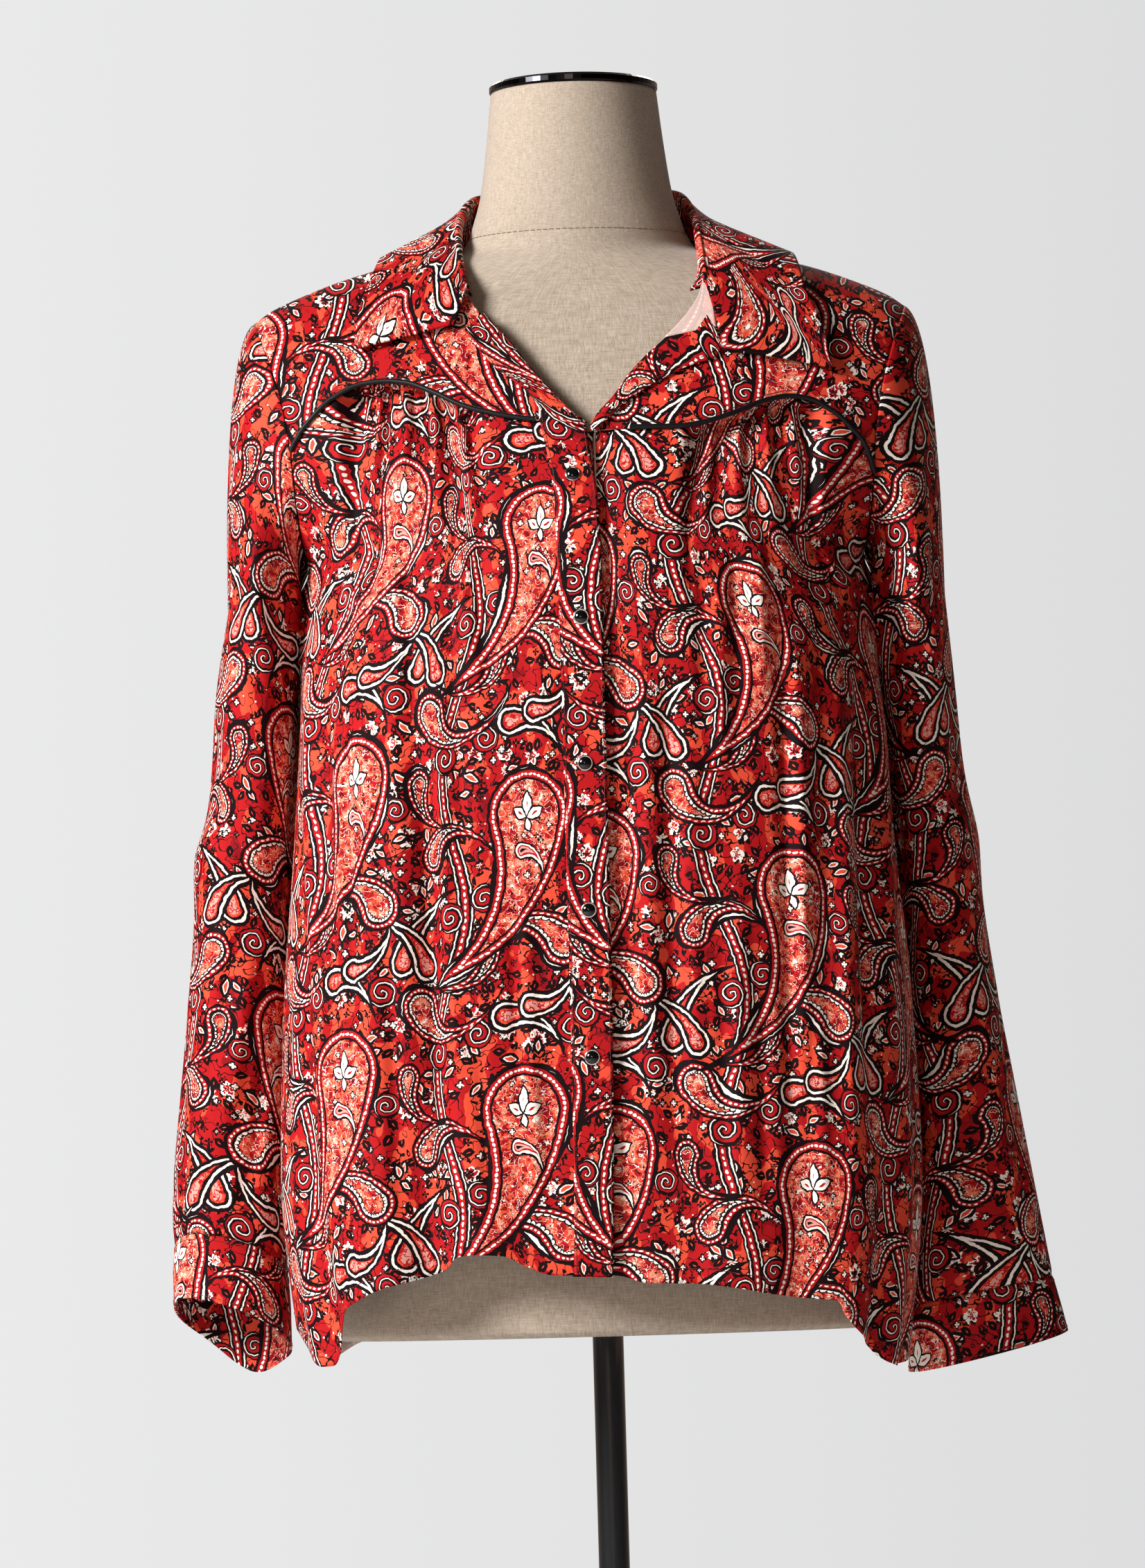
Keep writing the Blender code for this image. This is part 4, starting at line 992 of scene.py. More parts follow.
    def halo_drop(colour, x, y, turn, head, long, bend, wide=1.6):
        distance, along = drop(repeated(x, y, turn), head, long, bend)
        over, mask = bands(
            distance, -7, 6, (-7, PINK), (
                -head + 3.0, CORAL
            ), (-1.9, INK), (0.1, CREAM), (wide, INK),
            (wide + 2.2, None),
        )
        colour = lay(colour, over, mask)
        return lay(
            colour,
            RED,
            put(
                "Math",
                [scribble, put("Math", [distance, -1.6], operation="LESS_THAN")],
                operation="MULTIPLY",
            ),
        )

    for x, y, turn, head, long, bend in (
        (79, 0, 10, 6.5, 40, 0.010), (95, -3, -18, 6.0, 38, -0.012), (24, 168, 70, 6.5, 30, 0.02),
        (42, 174, 100, 5.5, 28, -0.025),
    ):
        colour = halo_drop(colour, x, y, turn, head, long, bend)

    # paisleys with a beaded border, a pale ribbon of uneven width outside and lace inside
    swell = put(
        "Math",
        [put("TexNoise", {"Vector": flat, "Scale": 0.03, "Detail": 0.0}), -12.0, 8.3],
        operation="MULTIPLY_ADD",
    )

    def bordered(colour, x, y, turn, head, long, bend, border, rim, lace=0.0, tail=(0, 0)):
        distance, along = drop(repeated(x, y, turn, tail), head, long, bend)
        outside = put("Math", [distance, swell], operation="ADD")
        colour = lay(colour, INK, put("Math", [outside, rim + 2.3], operation="LESS_THAN"))
        colour = lay(colour, CREAM, put("Math", [outside, rim], operation="LESS_THAN"))
        colour = lay(colour, INK, put("Math", [distance, 0.8], operation="LESS_THAN"))
        inner = -border - 1.5
        colour = lay(colour, filling, put("Math", [distance, inner], operation="LESS_THAN"))
        if lace:
            loops = beads(distance, along, inner, lace * 1.5, lace, 1.0)
            colour = lay(
                colour,
                INK,
                put(
                    "Math",
                    [loops, put("Math", [distance, inner], operation="LESS_THAN")],
                    operation="MULTIPLY",
                ),
            )
            loops = beads(distance, along, inner, lace * 1.5, lace - 0.8, 1.0)
            colour = lay(
                colour,
                CREAM,
                put(
                    "Math",
                    [loops, put("Math", [distance, inner], operation="LESS_THAN")],
                    operation="MULTIPLY",
                ),
            )
        over, mask = bands(
            distance,
            inner - 1,
            3,
            (inner - 1, None),
            (inner, INK),
            (-border, RED),
            (-0.9, INK),
            (0.8, None),
        )
        colour = lay(colour, over, mask)
        return lay(
            colour, CREAM, beads(distance, along, -border / 2 - 0.5, 3.3, 0.25 + border * 0.11)
        )

    colour = bordered(colour, 62, 34, -25, 13.5, 58, -0.022, 3.4, 1.2, 2.4)
    colour = bordered(colour, 92, 150, 170, 12.5, 56, -0.026, 3.2, 1.0, 2.2)
    colour = bordered(colour, 98, 64, 10, 10.5, 46, 0.03, 3.0, 1.0, 2.0)
    colour = bordered(colour, 12, 36, 150, 9.5, 44, 0.034, 2.8, 0.8, 1.8)
    colour = bordered(colour, 84, 108, 200, 8.5, 40, -0.03, 2.6, 0.8, 1.6)
    colour = bordered(colour, 38, 112, 170, 27.0, 116, 0.006, 5.0, 1.8, 0.0, (-10, -38))

    # a lily of three petals, a small paisley and dark flowers inside the large one
    distance, _ = drop(repeated(38, 112, 170, (-10, -38)), 27.0, 116, 0.006)
    colour = dark_flowers(
        colour, put("Math", [distance, -8.5], operation="LESS_THAN"), 1 / 8.0, 2.2, 0.45
    )
    lily = repeated(38, 110, 0)
    for turn, half, long in ((-64, 3.6, 12), (0, 3.2, 16), (64, 3.6, 12), (170, 2.2, 9)):
        over, mask = bands(
            leaf(
                put("VectorRotate", {0: lily, 3: radians(turn)}, rotation_type="Z_AXIS"), half, long
            ), -4, 2, (-4, RED), (-2.9, CREAM), (-0.4, INK), (0.8, None)
        )
        colour = lay(colour, over, mask)
    small, _ = drop(repeated(34, 90, 75), 4.4, 20, 0.05)
    over, mask = bands(
        small, -5, 3, (-5, INK), (-3.4, PINK), (-2.2, RED), (-1.2, CREAM), (0, INK), (1.2, None)
    )
    return lay(colour, over, mask)


def printed_crepe(name, faded):
    """Viscose crepe: matt, finely pebbled; the print shows through pale on its wrong side."""
    material, tree, shader = new_material(name)
    colour = paisley(tree)
    if faded:
        colour = node(tree, "MixRGB", [faded, colour, linear("#E9D3CB")])
    pebble = node(tree, "TexNoise", {"Vector": node(tree, "UVMap", uv_map="cut"), "Scale": 1500.0})
    bump = node(tree, "Bump", {"Height": pebble, "Strength": 0.25, "Distance": 0.0004})
    tree.links.new(colour, shader.inputs["Base Color"])
    tree.links.new(bump, shader.inputs["Normal"])
    shader.inputs["Roughness"].default_value = 0.75
    shader.inputs["Specular IOR Level"].default_value = 0.12
    return material


CREPE = printed_crepe("printed_viscose_crepe", 0.0)
WRONG_SIDE = printed_crepe("crepe_wrong_side", 0.72)
CLOTH = 0.5  # thickness of one layer of crepe as shown
BAND_THICK, LAPEL_THICK, CUFF_THICK, COLLAR_THICK = 1.0, 0.9, 1.1, 1.6  # doubled pieces


def crepe_piece(name, points, uv, tube=False, flip=False, thick=CLOTH, inner=None):
    """A thin piece of the blouse, print outside and its inner material inside, made solid to one
    thickness.
    """
    mesh = mesh_from(f"{name}_crepe", points, uv, tube, flip)
    piece = show(f"{name}_crepe", mesh, CREPE, [name])
    mesh.materials.append(inner or WRONG_SIDE)
    solid = piece.modifiers.new("cloth thickness", "SOLIDIFY")
    solid.thickness = thick * 0.001
    solid.offset = -1.0
    solid.material_offset = 1
    return piece


# ---- 5. Back ------------------------------------------------------------------------
# One piece of crepe cut from the shoulder line and the neck down to the hem, sewn to the
# yokes, sleeves and fronts at its edges. The hem is turned up once and stitched.

BACK_ARMHOLE = (632.0, 616.0, 597.0, 575.0, 550.0, 523.0, 498.0, 475.0)
HEM_FOLD = 9.0  # depth of the turned hem


# Creases: from x, height to x, height, then depth (+ is a ridge) and half width
BACK_CREASES = [
    (-24, 600, -8, 470, -1.4, 7), (30, 590, 22, 430, 1.3, 9), (-120, 560, -60, 500, -1.6, 8),
    (118, 556, 52, 486, -1.8, 9), (-150, 500, -90, 440, 1.5, 9), (148, 505, 96, 452, 1.4, 8),
    (-72, 420, -80, 60, -2.6, 7), (-40, 330, -47, 20, 2.2, 9), (8, 400, 3, 70, -2.2, 7),
    (52, 440, 60, 40, 2.4, 8), (84, 350, 92, 10, -3.0, 6), (118, 420, 126, 90, 2.2, 8),
    (-112, 380, -120, 40, 2.6, 7), (-140, 430, -146, 140, -2.4, 6), (146, 360, 152, 60, -2.4, 6),
    (26, 240, 24, 40, 1.8, 6), (-14, 200, -17, 20, 1.6, 7), (-92, 220, -97, 30, -1.6, 5),
]


def back_side_angle(h):
    return np.where(h <= UNDERARM, 90.0, angle_of(ARMHOLE.across(h), h, back=True))


def make_back():
    half = [mix(i / 9, SHOULDER_TIP, NECK_SIDE) for i in range(10)] + [60.0, 40.0, 20.0, 0.0]
    side = np.concatenate([np.linspace(0, 1, 90), np.linspace(1, 0, 90)[1:]])
    sign = np.concatenate([np.ones(90), -np.ones(89)])
    top_x = np.interp(side * 13, range(14), half)
    top = np.where(top_x >= NECK_SIDE, SHOULDER.height(top_x), BACK_NECKLINE.height(top_x))
    upper = [(TIP_HEIGHT - h) / (TIP_HEIGHT - UNDERARM) for h in BACK_ARMHOLE]
    high = np.concatenate([np.interp(np.linspace(0, 7, 60), range(8), upper), np.ones(150)])
    low = np.concatenate([np.zeros(60), np.linspace(0, 1, 151)[1:]])
    high, low = high[:, None], low[:, None]
    hem = HEM.height(sign * (90 + 90 * side))
    h = mix(low, mix(high, top, UNDERARM), hem)
    top_share = (180 - angle_of(top_x, top, back=True)) / (180 - back_side_angle(TIP_HEIGHT))
    settled = ease((h - ANGLE_SETTLES) / (top - ANGLE_SETTLES))
    share = mix(settled, 1 - side, top_share)
    angle = sign * (180 - (180 - back_side_angle(h)) * share)
    edge = side * 240
    out = seam_valley(edge, 0.4) + seam_valley(h - hem - HEM_FOLD, 0.35, 1.2)
    out = out + creases(BACK_CREASES, bare_point(angle, h)[..., 0], h)
    points = body_point(angle, h, out)
    across = run_across(points, 150)
    uv = np.stack(
        np.broadcast_arrays(across + 31, (run_down(points)[-1] - run_down(points)) + 12), axis=2
    )
    crepe_piece("back", points, uv)
    return points


back_points = make_back()

# ---- 6. Yokes -----------------------------------------------------------------------
# Two curved shoulder pieces of the same crepe, cut between neckline, shoulder, armhole and
# the piped seam. They lie flat on the form and carry the gathered fronts.

RIGHT = SimpleNamespace(
    name="right",
    sign=-1,
    yoke_cut=(0.24, 0.15, 0.020),
    front_cut=(0.27, 0.60, 0.149),
    sleeve_cut=(0.36, 0.62, 0.157),
    cuff_cut=(0.24, 0.045, 0.0105),
    seam_end=541.0,
    neckline=table(
        "across",
        [
            (551.5, -3), (568, 16), (587, 31.7), (600, 40), (612, 49.5), (624, 60),
            (638, 68.6), (652, 74.5), (664, 78), (678, 80),
        ],
    ),
    seam=table(
        "height",
        [
            (-3, 551.5), (26.5, 553.5), (49, 557.3), (71, 564.3), (88.7, 573.6), (106, 580.8),
            (120, 582.6), (133, 581.6), (151, 573.8), (166, 560), (173, 551.5), (178.5, 541),
        ],
    ),
)
LEFT = SimpleNamespace(
    name="left",
    sign=1,
    yoke_cut=(0.23, 0.17, 0.022),
    front_cut=(0.27, 0.59, 0.144),
    sleeve_cut=(0.36, 0.64, 0.160),
    cuff_cut=(0.245, 0.040, 0.0094),
    seam_end=517.0,
    neckline=table(
        "across",
        [
            (546.5, 4), (556, 10), (567, 19), (581, 29), (593, 40), (603, 51), (620, 66.5),
            (632, 73.5), (652, 78), (678, 80),
        ],
    ),
    seam=table(
        "height",
        [
            (4, 546.5), (27, 547.2), (55, 547.2), (71, 549.3), (84, 553), (97, 557.7),
            (110, 563), (126, 566), (137, 564.6), (150, 558), (164, 545.6), (171, 537),
            (177, 517),
        ],
    ),
)


def make_yoke(side):
    drop = (1 - np.cos(np.linspace(0, 1, 70) * pi / 2))[:, None]
    inner, outer = side.seam.keys[0], side.seam.keys[-1]
    across = np.linspace(inner, outer, 90)
    f = (across - inner) / (outer - inner)
    low_in, high_in = side.seam.height(inner), side.neckline.keys[-1]
    neck_h = mix(drop, high_in, low_in)
    neck_x = side.neckline.across(neck_h)
    arm_h = mix(drop, TIP_HEIGHT, side.seam_end)
    arm_x = ARMHOLE.across(arm_h)
    top_x = mix(f, NECK_SIDE, SHOULDER_TIP)
    top_h, low_h = SHOULDER.height(top_x), side.seam.height(across)
    corner_x = mix(f, mix(drop, NECK_SIDE, inner), mix(drop, SHOULDER_TIP, outer))
    corner_h = mix(f, mix(drop, high_in, low_in), mix(drop, TIP_HEIGHT, side.seam_end))
    x = mix(f, neck_x, arm_x) + mix(drop, top_x, across) - corner_x
    h = mix(f, neck_h, arm_h) + mix(drop, top_h, low_h) - corner_h
    y = front_y(x, h) - seam_valley(h - low_h, 0.5, 2.0) - seam_valley(arm_x - x, 0.4, 2.0)
    points = np.stack([x * side.sign, y, h], axis=2)
    uv = np.stack([x + 40 * side.sign, h], axis=2)
    name = f"{side.name}_yoke"
    crepe_piece(name, points, uv, flip=side.sign < 0)
    return points


yokes = {side.name: make_yoke(side) for side in (RIGHT, LEFT)}

# ---- 7. Fronts ----------------------------------------------------------------------
# Each front is a panel of crepe, gathered into the piped yoke seam over 70 mm. It falls
# free from there to the hem, and the wearer's right front laps over the left.

UNDER_SEAM_X = curve_of([40, 150, 300, 450, 545], [2, 5.6, 6.4, 6.7, 7])
LAP_DEPTH = 4.0  # how much deeper the left front lies under the right one's band
BAND = table(
    "edge_x edge_h seam_x seam_h",
    [
        (0, 3.9, 36, -19, 37), (64, 6.3, 100, -17.5, 100), (164, 8, 200, -17, 200),
        (264, 8.6, 300, -17, 300), (414, 9, 450, -17.3, 450), (469, 7.8, 505, -18.5, 505),
        (494, 4.4, 530, -21.5, 530), (514, 1.8, 549, -25.5, 551), (523, -4, 556, -27, 562),
        (537, -14.5, 568, -36, 574.5), (560, -30.2, 587, -50, 586), (583, -43.5, 606, -61.5, 600),
        (604, -58.5, 624, -70.5, 613),
    ],
)
# Gathers: place on the seam, length below it, height and half width of the ridge
GATHERS = {
    "right": [
        (70, 48, 2.8, 2.3), (78, 80, 6.6, 3.2), (85.5, 46, 2.6, 1.9), (94, 95, 7.6, 3.5),
        (103, 56, 2.8, 2.0), (111, 100, 7.8, 3.6), (119, 54, 2.8, 2.0), (127, 86, 6.8, 3.3),
        (135, 62, 3.6, 2.3), (141.5, 44, 2.6, 2.2),
    ],
    "left": [
        (72, 44, 2.4, 2.3), (81, 84, 6.2, 3.4), (90, 54, 2.6, 2.0), (98, 100, 7.2, 3.6),
        (106.5, 58, 2.8, 2.1), (115, 92, 6.8, 3.5), (123.5, 52, 2.6, 2.1), (132, 76, 5.6, 3.2),
        (141, 44, 2.4, 2.3),
    ],
}


# Creases: from distance off the middle, height, to the same, then depth and half width
FRONT_CREASES = {
    "right": [
        (
            112, 505, 105, 330, -4.3, 4.5
        ), (105, 375, 94, 30, -7.4, 5.5), (121, 450, 112, 60, 3.8, 6.0),
        (95, 420, 83, 70, 3.2, 5.0), (172, 440, 168, 50, 4.3, 4.0), (163, 420, 158, 90, -3.5, 4.0),
        (
            151, 430, 146, 110, -3.8, 3.6
        ), (137, 470, 133, 150, 2.4, 5.0), (44, 310, 40, 50, 3.0, 5.0),
        (51, 270, 47, 110, -3.2, 3.6), (66, 505, 58, 330, -2.2, 4.0), (78, 500, 68, 380, 1.9, 3.6),
        (86, 480, 76, 250, -2.0, 3.4), (
            128, 500, 140, 380, -2.4, 3.6
        ), (30, 470, 27, 300, 1.6, 5.5),
        (
            158, 505, 112, 452, -2.2, 6.0
        ), (166, 478, 122, 430, 2.0, 6.0), (34, 180, 30, 50, -2.0, 4.0),
        (72, 190, 68, 50, -2.3, 4.0), (126, 260, 123, 40, -3.0, 4.0),
    ],
    "left": [
        (23, 480, 20, 60, -3.0, 4.5), (34, 420, 31, 90, 2.4, 6.0), (47, 440, 43, 60, -3.5, 5.0),
        (60, 400, 55, 60, 2.7, 6.0), (72, 500, 66, 340, -2.0, 3.8), (80, 470, 76, 300, 1.9, 4.0),
        (91, 490, 87, 330, -2.4, 3.6), (86, 300, 80, 50, 2.7, 6.0), (76, 260, 72, 50, -2.4, 4.0),
        (
            104, 500, 103, 360, 2.2, 4.0
        ), (117, 460, 112, 60, -4.3, 4.2), (126, 440, 121, 90, 3.5, 5.0),
        (
            139, 470, 136, 130, -2.7, 4.0
        ), (150, 430, 147, 40, 3.2, 4.0), (165, 450, 160, 40, -5.1, 5.0),
        (177, 430, 173, 60, 4.1, 4.5), (
            160, 498, 118, 440, -2.3, 6.0
        ), (168, 470, 128, 416, 2.0, 6.0),
        (98, 220, 95, 40, -2.7, 4.5), (132, 210, 130, 40, 2.4, 4.0),
    ],
}


def gather_ridges(side, across, below):
    out = np.zeros(np.broadcast(across, below).shape)
    for place, long, high, half in GATHERS[side.name]:
        held = np.clip(below / 5.0, 0.25, 1.0) * np.exp(-((np.maximum(below, 0) / long) ** 1.6))
        wide = half * (1 + np.maximum(below, 0) / 90)
        lean = place + (place - 105) * np.maximum(below, 0) / 700
        off = (across - lean) / wide
        out += high * held * (np.exp(-(off**2)) - 0.35)
    return out * ease((across - 62) / 10) * ease((152 - across) / 10)


def make_front(side):
    seam_x = [0, 14.0, 27.0, 41.0, 56.0, *np.linspace(71, 139, 19), 150.0, 160.0, 168.0, 173.5]
    seam_x = [side.seam.keys[0], *seam_x[1:], side.seam.keys[-1]]
    last = len(seam_x) - 1 + 4
    t = np.concatenate(
        [np.linspace(0, 4, 24)[:-1], np.linspace(4, 24, 74)[:-1], np.linspace(24, last, 48)]
    )
    on_seam = t <= len(seam_x) - 1
    across = np.interp(t, range(len(seam_x)), seam_x)
    fall = np.clip((t - len(seam_x) + 1) / 4, 0, 1)
    arm_h = mix(fall**0.8, side.seam_end, UNDERARM)
    top = np.where(on_seam, side.seam.height(across), arm_h)
    across = np.where(on_seam, across, ARMHOLE.across(arm_h))
    top_angle = np.where(t >= last, 90.0, angle_of(across, top))
    share = (np.linspace(0, 1, 250) ** 1.25)[:, None]
    hem_angle = side.sign * 90.0 * (t / last) ** 0.93
    hem = HEM.height(hem_angle)
    h = mix(share, top, hem)
    settled = ease((h - ANGLE_SETTLES) / (top - ANGLE_SETTLES))
    angle = mix(settled, hem_angle, top_angle * side.sign)
    if side.sign < 0:
        free = curve_of(
            [36, 100, 200, 300, 450, 505, 530, 549], [3.9, 6.3, 8, 8.6, 9, 7.8, 4.4, 1.8]
        )
        angle[:, 0] = angle_of(free(h[:, 0]) - 1.0, h[:, 0])
    else:
        angle[:, 0] = angle_of(UNDER_SEAM_X(h[:, 0]) + 0.5, h[:, 0])
    below = top - h
    out = gather_ridges(side, across, below) + seam_valley(below, 0.5, 2.0)
    out = out + seam_valley(h - hem - HEM_FOLD, 0.35, 1.2)
    x = bare_point(angle, h)[..., 0]
    clear = ease((np.abs(x) - (19 if side.sign < 0 else 12)) / 10) * ease(below / 24)
    out = out + clear * creases(FRONT_CREASES[side.name], np.abs(x), h)
    if side.sign > 0:
        out = out - LAP_DEPTH * (1 - ease((x - 10) / 22))
    points = body_point(angle, h, out)
    wide = run_across(points, 170)
    long = run_down(points)
    uv = np.stack(
        np.broadcast_arrays(wide * side.sign + 40 * side.sign, long[-1] - long + hem), axis=2
    )
    name = f"{side.name}_front"
    crepe_piece(name, points, uv, flip=side.sign < 0)
    return points


fronts = {side.name: make_front(side) for side in (RIGHT, LEFT)}

# ---- 8. Sleeves ---------------------------------------------------------------------
# A long one-piece sleeve of crepe, set into each armhole, slack at the elbow and narrowing
# to the cuff. The empty sleeve hangs just clear of the side and of its own folds.

RIGHT.sleeve = table(
    "outer inner mid_y depth outer_up front_up",
    [
        (450, 223, 180, 8, 74, 0, 0), (400, 232, 179.5, 14, 70, 0, 0),
        (350, 237, 180.5, 20, 66, 0, 0), (325, 240, 181, 23, 64, 0, 0),
        (300, 246, 182, 26, 62, 0, 0), (250, 251, 185, 30, 60, 0, 1),
        (200, 256.5, 187.5, 33, 58, 0, 3), (150, 262, 190.5, 33, 54, 0, 7),
        (100, 267, 193, 31, 49, 1, 12), (70, 268, 195.5, 28, 44, 5, 15),
        (50, 267, 197, 26, 40, 9, 15),
    ],
)
LEFT.sleeve = table(
    "outer inner mid_y depth outer_up front_up",
    [
        (450, 221.5, 179, 8, 75, 0, 0), (400, 226, 178.5, 14, 71, 0, 0),
        (350, 230.5, 180.5, 21, 67, 0, 0), (300, 236.5, 183, 28, 63, 0, 0),
        (285, 238, 183.5, 29, 62, 0, 0), (250, 242, 186.5, 33, 60, 0, 0),
        (200, 249, 188, 37, 57, 1, 0), (150, 257, 191, 39, 53, 2, 0),
        (100, 265, 192.5, 40, 47, 4, 0), (55, 272, 191, 39, 38, 6, 0),
        (19.5, 277.5, 188, 38, 28, 8, 0),
    ],
)
SLEEVE_SQUARE = 2.2
SLEEVE_TOP = 450.0  # the cap joins the even rings of the sleeve here
AROUND = np.linspace(0, 360, 129)[:-1]  # way round a sleeve, in degrees
# Bends of the cloth: way round (0 outside, 90 in front), height, depth, half widths
SLEEVE_FOLDS = [
    (60, 345, -5, 34, 30), (20, 300, 3, 30, 26), (110, 255, -5, 34, 60), (75, 190, 3, 30, 60),
    (100, 120, -5, 26, 70), (45, 110, -3, 22, 60), (250, 330, -5, 34, 40),
    (285, 230, 4, 34, 60), (260, 130, -6, 30, 70), (310, 140, -4, 24, 60),
    (151, 440, 9.0, 17, 34), (181, 432, -1.5, 12, 34), (212, 436, 6, 17, 34),
]


# Creases: way round and height, to the same, then depth (+ is a ridge) and half width
SLEEVE_CREASES = [
    (35, 470, 112, 385, -3.5, 8), (58, 475, 128, 410, 2.7, 8), (18, 338, 98, 300, -3.8, 7),
    (28, 318, 108, 276, 3.2, 8), (44, 270, 122, 236, -3.0, 7), (86, 262, 60, 118, -3.0, 7),
    (103, 250, 82, 92, 3.0, 8), (122, 190, 108, 66, -3.0, 7), (62, 150, 50, 66, 2.4, 7),
    (75, 112, 72, 56, -2.0, 5), (94, 102, 94, 58, 1.8, 5), (36, 100, 33, 62, -1.9, 5),
    (12, 210, 30, 96, -2.4, 8), (150, 380, 140, 190, -2.4, 9), (228, 450, 292, 372, -3.5, 9),
    (204, 350, 262, 304, -3.5, 8), (252, 306, 318, 268, 3.2, 9), (282, 228, 262, 92, -3.0, 8),
    (240, 204, 236, 70, 2.7, 9), (312, 170, 300, 62, -2.7, 7), (216, 112, 214, 58, -1.9, 5),
    (258, 106, 258, 60, 1.8, 5), (338, 290, 344, 130, -2.4, 8), (196, 250, 190, 120, 2.2, 8),
]


def sleeve_point(rings, turn, h, folds=1.0, out=0.0):
    push = np.zeros(np.broadcast(turn, h).shape)
    for around, height, depth, spread, tall in SLEEVE_FOLDS:
        off = (turn - around + 180) % 360 - 180
        push += folds * depth * np.exp(-((off / spread) ** 2) - ((h - height) / tall) ** 2)
    push = push + folds * creases(SLEEVE_CREASES, turn, h) + out
    over = signed_power(np.cos(np.radians(turn)), 2 / SLEEVE_SQUARE)
    fore = signed_power(np.sin(np.radians(turn)), 2 / SLEEVE_SQUARE)
    half = (rings.outer(h) - rings.inner(h)) / 2
    x = rings.inner(h) + half + (half + push * np.abs(np.cos(np.radians(turn)))) * over
    y = rings.mid_y(h) - (rings.depth(h) + push * np.abs(np.sin(np.radians(turn)))) * fore
    z = h + rings.outer_up(h) * over + rings.front_up(h) * fore
    return np.stack(np.broadcast_arrays(x, y, z), axis=-1)


def armhole_edge(side, turn):
    front = turn <= 180
    step = np.where(front, turn / 180 * 12, 0)
    yoke = mix(1 - np.cos(np.minimum(step / 8, 1) * pi / 2), TIP_HEIGHT, side.seam_end)
    low = mix(np.clip((step - 8) / 4, 0, 1) ** 0.8, side.seam_end, UNDERARM)
    behind = np.interp((turn - 180) / 180 * 7, range(8), BACK_ARMHOLE[::-1])
    h = np.where(front, np.where(step <= 8, yoke, low), behind)
    x = ARMHOLE.across(h)
    return np.stack([x, np.where(front, front_y(x, h), back_y(x, h)), h], axis=-1)


def make_sleeve(side):
    start = armhole_edge(side, AROUND) + (0.2, 0, 0)
    first = sleeve_point(side.sleeve, AROUND, SLEEVE_TOP)
    high = ((start[:, 2] - UNDERARM) / (TIP_HEIGHT - UNDERARM))[:, None]
    leave = start + mix(high, np.array([4, 0, -8]), np.array([18, 0, -9]))
    arrive = first + (0, 0, 1) * mix(high, 8, 62)
    s = np.linspace(0, 1, 40)[:-1, None, None]
    cap = start * (
        1 - s
    ) ** 3 + leave * 3 * (1 - s) ** 2 * s + arrive * 3 * (1 - s) * s**2 + first * s**3
    cuff = side.sleeve.keys[0]
    h = np.linspace(SLEEVE_TOP, cuff, 150)[:, None]
    long = sleeve_point(side.sleeve, AROUND, h, out=seam_valley(h - cuff, 0.8, 2.5))
    points = np.concatenate([cap, long])
    down = run_down(points)
    around = np.append(run_across(points, 90), 0)
    around[-1] = around[-2] + np.linalg.norm(points[90, 0] - points[90, -1])
    up = np.concatenate([down[-1] - down, (down[-1] - down)[:, :1]], axis=1)
    uv = np.stack(np.broadcast_arrays(around * side.sign + 20, up), axis=2)
    points = points * (side.sign, 1, 1)
    name = f"{side.name}_sleeve"
    crepe_piece(name, points, uv, tube=True, flip=side.sign > 0)


for side in (RIGHT, LEFT):
    make_sleeve(side)

# ---- 9. Cuffs -----------------------------------------------------------------------
# A straight band of crepe, folded double with the print on both sides, is sewn to the end
# of each sleeve. It is open at the bottom and stitched along both edges.

RIGHT.cuff = table(
    "outer inner mid_y depth outer_up front_up",
    [
        (50, 267, 197, 26, 40, 9, 15),
        (29.5, 268.5, 196, 26, 40, 11, 15),
        (9, 268.5, 196, 26, 41, 13, 14),
    ],
)
LEFT.cuff = table(
    "outer inner mid_y depth outer_up front_up",
    [
        (19.5, 277.5, 188, 38, 28, 8, 0),
        (0, 282, 187, 38, 27, 10, -1),
        (-18, 286, 186, 38, 27, 11.5, -3),
    ],
)
CUFF_CORNER = 11.0  # how far the right cuff's back corner hangs down


def make_cuff(side):
    top, low = side.cuff.keys[-1] - 0.2, side.cuff.keys[0]
    share = np.linspace(0, 1, 34)[:, None]
    h = mix(share, top, low)
    points = sleeve_point(side.cuff, AROUND, h, folds=0.0, out=seam_valley(top - h, 0.5, 1.5))
    if side.sign < 0:
        points[..., 2] -= CUFF_CORNER * share * np.exp(-(((AROUND - 256) / 30) ** 2))
    down = run_down(points)
    around = np.append(run_across(points, 10), 0)
    around[-1] = around[-2] + np.linalg.norm(points[10, 0] - points[10, -1])
    down = np.concatenate([down, down[:, :1]], axis=1)
    uv = np.stack(np.broadcast_arrays(around * side.sign + 60, 300 - down), axis=2)
    points = points * (side.sign, 1, 1)
    name = f"{side.name}_cuff"
    crepe_piece(
        name, points, uv,
        tube=True, flip=side.sign > 0, thick=CUFF_THICK, inner=CREPE,
    )
    return points


cuffs = {side.name: make_cuff(side) for side in (RIGHT, LEFT)}

# ---- 10. Bands and lapel ------------------------------------------------------------
# The folded band of the right front carries the fasteners and runs on along the V. The
# left front's band lies under it, and at the V it is turned out as a narrow lapel.


